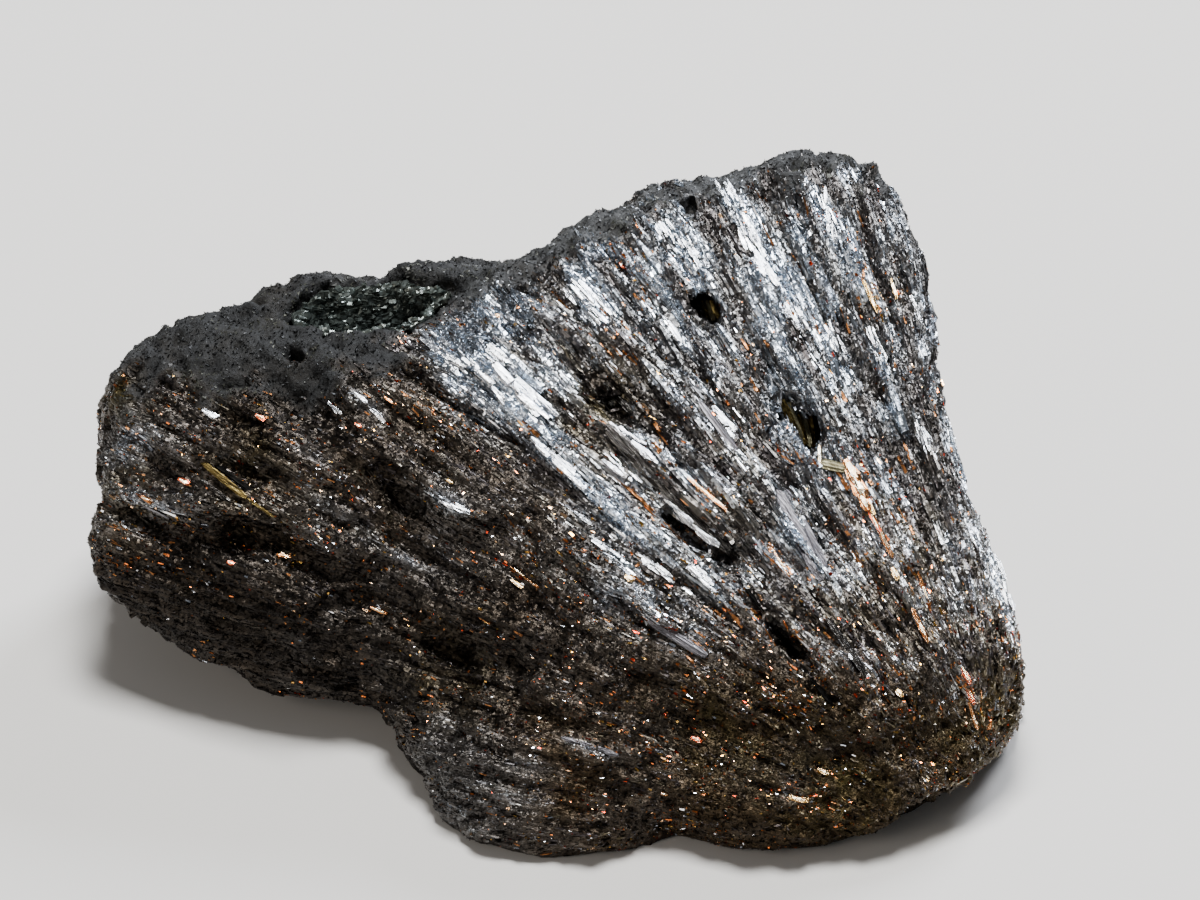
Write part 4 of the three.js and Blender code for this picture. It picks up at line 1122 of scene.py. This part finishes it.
def body_material():
    """The body between the blades: dark metallic streaks that turn, on the crust, to dull charcoal grains.

    Its hollows are painted darker, as painted shade.
    """
    made, tree, crust, bronze, hollow, bright, oxide = new_material(
        "stibnite_body", "crust", "bronze", "hollow", "bright", "oxide")
    streak = streaks_of(tree, 0.35, 5)
    lit = add(tree, MATH, streak, -0.1, operation="ADD")
    lit = add(tree, MATH, bright, 0.3, lit, operation="MULTIPLY_ADD")
    grey = add(tree, RAMP, lit, stops=[(0.2, "#322f2d"), (0.5, "#504e4c"), (0.8, "#8e9299")])
    brown = add(tree, RAMP, lit, stops=[(0.2, "#130f0b"), (0.5, "#3a2f22"), (0.8, "#705f4a")])
    metal = add(tree, MIX, bronze, grey, brown, data_type="RGBA")
    metal = add(tree, MIX, oxide, metal, "#40381f", data_type="RGBA")
    # Hollows are painted dark brown, as painted shade in the recesses.
    painted_hollow_shade = add(tree, MATH, hollow, 0.75, operation="MULTIPLY")
    metal = add(tree, MIX, painted_hollow_shade, metal, "#231e17", data_type="RGBA")
    grain = grain_of(tree, 0.38, 4.0)
    charcoal = add(tree, RAMP, grain, stops=[
        (0.3, "#060707"), (0.52, "#111213"), (0.72, "#292b2c")])
    patches = add(tree, RAMP, grain_of(tree, 3.8), stops=[(0.45, 0.0), (0.7, 0.6)])
    charcoal = add(tree, MIX, patches, charcoal, "#1d1911", data_type="RGBA")
    towards_fan = add(tree, RAMP, bright, stops=[(0.25, 0.0), (0.7, 0.4)])
    charcoal = add(tree, MIX, towards_fan, charcoal, "#5c5e60", data_type="RGBA")
    base = add(tree, MIX, crust, metal, charcoal, data_type="RGBA")
    metallic = add(tree, MATH, crust, -0.75, 0.95, operation="MULTIPLY_ADD")
    rough = add(tree, MATH, crust, 0.4, 0.38, operation="MULTIPLY_ADD")
    facets = add(tree, MATH, streak, 0.6, grains_of(tree, 0.3), operation="MULTIPLY_ADD")
    height = add(tree, MIX, crust, facets, grain, data_type="FLOAT")
    coat(tree, base, metallic, rough, height, 0.3, 0.9)
    return made


def druse_material():
    """The vug's crystals. The eye gets dark faces with a green cast and hard little highlights.

    Deeper down in the vug they are painted darker, as painted shade.
    """
    made, tree = new_material("vug_crystals")
    patch = grain_of(tree, 0.9, 2.0)
    base = add(tree, RAMP, patch, stops=[
        (0.35, "#333b39"), (0.5, "#575b55"), (0.58, "#636c69"), (0.75, "#a6b0ad")])
    place = add(tree, "ShaderNodeTexCoord", out="Object")
    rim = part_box("vug_crystals")[1][2]
    height = add(tree, "ShaderNodeSeparateXYZ", place, out="Z")
    # Crystals deeper in the vug are painted darker, down to #363d3b, as painted shade inside the hollow.
    out_of_painted_shade = add(tree, "ShaderNodeMapRange", height, rim - 4 * MM, rim - 0.5 * MM)
    base = add(tree, MIX, out_of_painted_shade, "#363d3b", base, data_type="RGBA")
    coat(tree, base, 0.6, 0.26, patch, 0.05, 0.3)
    return made


def floor_material():
    """A pale matt studio sweep."""
    made, tree = new_material("studio_floor")
    coat(tree, "#d6d4d0", 0.0, 0.9, grain_of(tree, 2.0), 0.01, 0.1)
    return made


# ---- the pieces ----

BLADES = blade_tree()
CRYSTALS = crystal_tree()

body = body_surface()
dress(body, body_material())
finished(body, "stibnite", "stibnite_mass")

# The shapes that are grown, 1 long and 1 wide. Each one grown is scaled to its size.
chip = prism("chip", CHIP, [(-0.5, 0.85, -0.36), (0.5, 0.6, 0.3)])
slat = prism("slat", SLAT, [(-0.5, 1, -0.42), (0.5, 0.6, 0.25)])
splinter = shard("shard")
plank = prism("plank", HEXAGON, [(-0.5, 0.9, -0.46), (0.2, 1, 0.1), (0.5, 0.35, 0.42)])
crystal = prism("crystal", RHOMB, [(-0.3, 0.9, -0.3), (0.6, 1, 0.6), (0.9, 0.2, 0.9)])
blades = blade_material()
glints = glint_material()

# Sizes are length, width and depth, in mm. Glints lean towards the light above and the viewer in front.
PLANKS = dict(per_square_metre=0.05e6, shortest=(2.5, 0.3, 0.6), longest=(7, 0.9, 0.8),
              bundle_roll=0.5, roll=0.2, pitch=0.02, stray=0.03, lift=0.1)
SLATS = dict(per_square_metre=9e6, shortest=(0.6, 0.08, 0.3), longest=(3.4, 0.42, 0.6),
             bundle_roll=0.9, roll=0.25, pitch=0.04, stray=0.06, lift=0.06)
SHORT_SLATS = {**SLATS, "per_square_metre": 6e6, "longest": (2.2, 0.3, 0.5), "roll": 0.5, "stray": 0.15}
CHIPS = dict(per_square_metre=9e6, shortest=(0.15, 0.09, 0.3), longest=(0.9, 0.3, 0.5),
             bundle_roll=0.6, roll=0.7, pitch=0.35, stray=0.3, lift=0.07)
SHARDS = dict(per_square_metre=18e6, shortest=(0.16, 0.12, 0.2), longest=(0.55, 0.34, 0.4),
              bundle_roll=0.5, roll=0.9, pitch=0.4, stray=0.9, lift=0.08)
CRUMBS = dict(per_square_metre=12e6, shortest=(0.18, 0.18, 0.2), longest=(0.6, 0.6, 0.5),
              bundle_roll=0.2, roll=0.7, pitch=0.3, stray=1.5, lift=0.08)
NEEDLES = dict(per_square_metre=5e6, shortest=(0.4, 0.06, 0.2), longest=(2.4, 0.26, 0.3),
               bundle_roll=0.3, roll=0.25, pitch=0.05, stray=0.08, lift=0.08, lean=list(1.5 * FLASH))
FLAKES = dict(per_square_metre=3e6, shortest=(0.25, 0.14, 0.3), longest=(1.1, 0.4, 0.4),
              bundle_roll=0.2, roll=0.2, pitch=0.08, stray=0.15, lift=0.1, lean=list(5 * FLASH))
SPARKS = dict(per_square_metre=9e6, shortest=(0.16, 0.08, 0.2), longest=(0.65, 0.28, 0.3),
              bundle_roll=0.2, roll=0.3, pitch=0.15, stray=0.3, lift=0.12, lean=list(6 * FLASH))
for name, shape, finish, where, seed, sizes in (
    ("fan_planks", plank, blades, "fan", 53, PLANKS),
    ("fan_slats", slat, blades, "fan", 11, SLATS),
    ("fan_chips", chip, blades, "fan", 83, CHIPS),
    ("fan_shards", splinter, blades, "fan", 87, SHARDS),
    ("left_slats", slat, blades, "left", 23, SHORT_SLATS),
    ("left_shards", splinter, blades, "left", 29, {**SHARDS, "per_square_metre": 19e6}),
    ("toe_slats", slat, blades, "toe", 37, {**SHORT_SLATS, "per_square_metre": 4e6}),
    ("toe_shards", splinter, blades, "toe", 31, {**SHARDS, "per_square_metre": 19e6}),
    ("back_slats", slat, blades, "back", 41, {**SLATS, "per_square_metre": 2e6}),
    ("back_shards", splinter, blades, "back", 43, {**SHARDS, "per_square_metre": 4e6}),
    ("splinters", slat, splinter_material(), "needles", 97, NEEDLES),
    ("crust_grains", splinter, crust_grain_material(), "grains", 71, CRUMBS),
    ("glint_flakes", chip, glints, "glints", 61, FLAKES),
    ("glint_sparks", splinter, glints, "sparks", 67, SPARKS),
):
    finished(grow(name, BLADES, body, shape, finish, where=where, seed=seed, **sizes), "stibnite")
finished(large_blades(body, {
    finish: large_blade_material(*look) for finish, look in LARGE_BLADE_LOOKS.items()}), "stibnite")


def vug_druse():
    """The crust that lines the vug, with crystals all over the side that shows."""
    crust = new_object("vug_druse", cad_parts["vug_crystals"].data.copy())

    # The crust, closed, remeshed fine, worn smooth and roughened.
    merged = bmesh.new()
    merged.from_mesh(crust.data)
    bmesh.ops.remove_doubles(merged, verts=merged.verts, dist=0.001 * MM)
    merged.to_mesh(crust.data)
    merged.free()
    modified(crust, "REMESH", mode="VOXEL", voxel_size=VUG_VOXEL * MM)
    place = worn_smooth(crust, 10)
    _, normal = mesh_arrays(crust.data)
    set_places(crust.data, place + normal * (0.22 * noise_at(place, 0.9, 3) - 0.05)[:, None])

    # The side of it that faces into the hollow.
    place, normal = mesh_arrays(crust.data)
    low, high = (np.array(corner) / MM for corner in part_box("vug_crystals"))
    inward = unit((low + high) / 2 + (0, 0, 1.5) - place)
    store(crust.data, lining=smoothstep(0.0, 0.3, dots(inward, normal)))

    # Crystals on that side, joined to the crust.
    finish = druse_material()
    dress(crust, finish)
    lining = grow("lining", CRYSTALS, crust, crystal, finish, where="lining", seed=3, per_square_metre=11e6,
                  shortest=(0.24, 0.24, 0.2), longest=(0.55, 0.55, 0.7), stray=0.8, lift=0.0)
    both = bmesh.new()
    both.from_mesh(crust.data)
    both.from_mesh(lining.data)
    both.to_mesh(crust.data)
    both.free()
    bpy.data.objects.remove(lining)
    return crust


finished(vug_druse(), "vug_crystals", "vug_crystals")

for template in (chip, slat, splinter, plank, crystal):
    bpy.data.objects.remove(template)

# ---- studio ----

bpy.ops.mesh.primitive_plane_add(size=3)
floor = bpy.context.object
floor.name = "floor"
floor.data.materials.append(floor_material())

# The camera looks at a point in front of the display side's origin, and takes in this width there.
SIGHT_DISTANCE = 700
FRAME_WIDTH = 84
looked_at = from_display(0, 0, 30)
camera = new_object("camera", bpy.data.cameras.new("camera"))
camera.location = (looked_at + TO_VIEWER * SIGHT_DISTANCE) * MM
camera.rotation_euler = (math.pi / 2 - SIGHT_ELEVATION, 0, 0)
camera.data.lens = camera.data.sensor_width * SIGHT_DISTANCE / FRAME_WIDTH
camera.data.clip_start = 0.01
bpy.context.scene.camera = camera

# What the lights are aimed at.
MIDDLE_OF_THE_LUMP = Vector((0, 0, 12 * MM))


def soft_light(name, place, size, power, tint="#ffffff"):
    """A square soft box that faces the specimen."""
    lamp = new_object(name, bpy.data.lights.new(name, "AREA"))
    lamp.location = place
    lamp.rotation_euler = (MIDDLE_OF_THE_LUMP - Vector(place)).to_track_quat("-Z", "Y").to_euler()
    lamp.data.size = size
    lamp.data.energy = power
    lamp.data.color = colour(tint)[:3]


soft_light("overhead", (0.03, 0.04, 0.6), 0.2, 6.8)
soft_light("key_back_right", (0.35, 0.45, 0.45), 0.22, 6.7, "#f2f6ff")
soft_light("fill_front_left", (-0.5, -0.5, 0.45), 0.4, 1.45, "#fff4e8")

world = bpy.data.worlds.new("studio")
world.use_nodes = True
world.node_tree.nodes["Background"].inputs["Color"].default_value = colour("#c9cdd2")
world.node_tree.nodes["Background"].inputs["Strength"].default_value = 0.23
bpy.context.scene.world = world
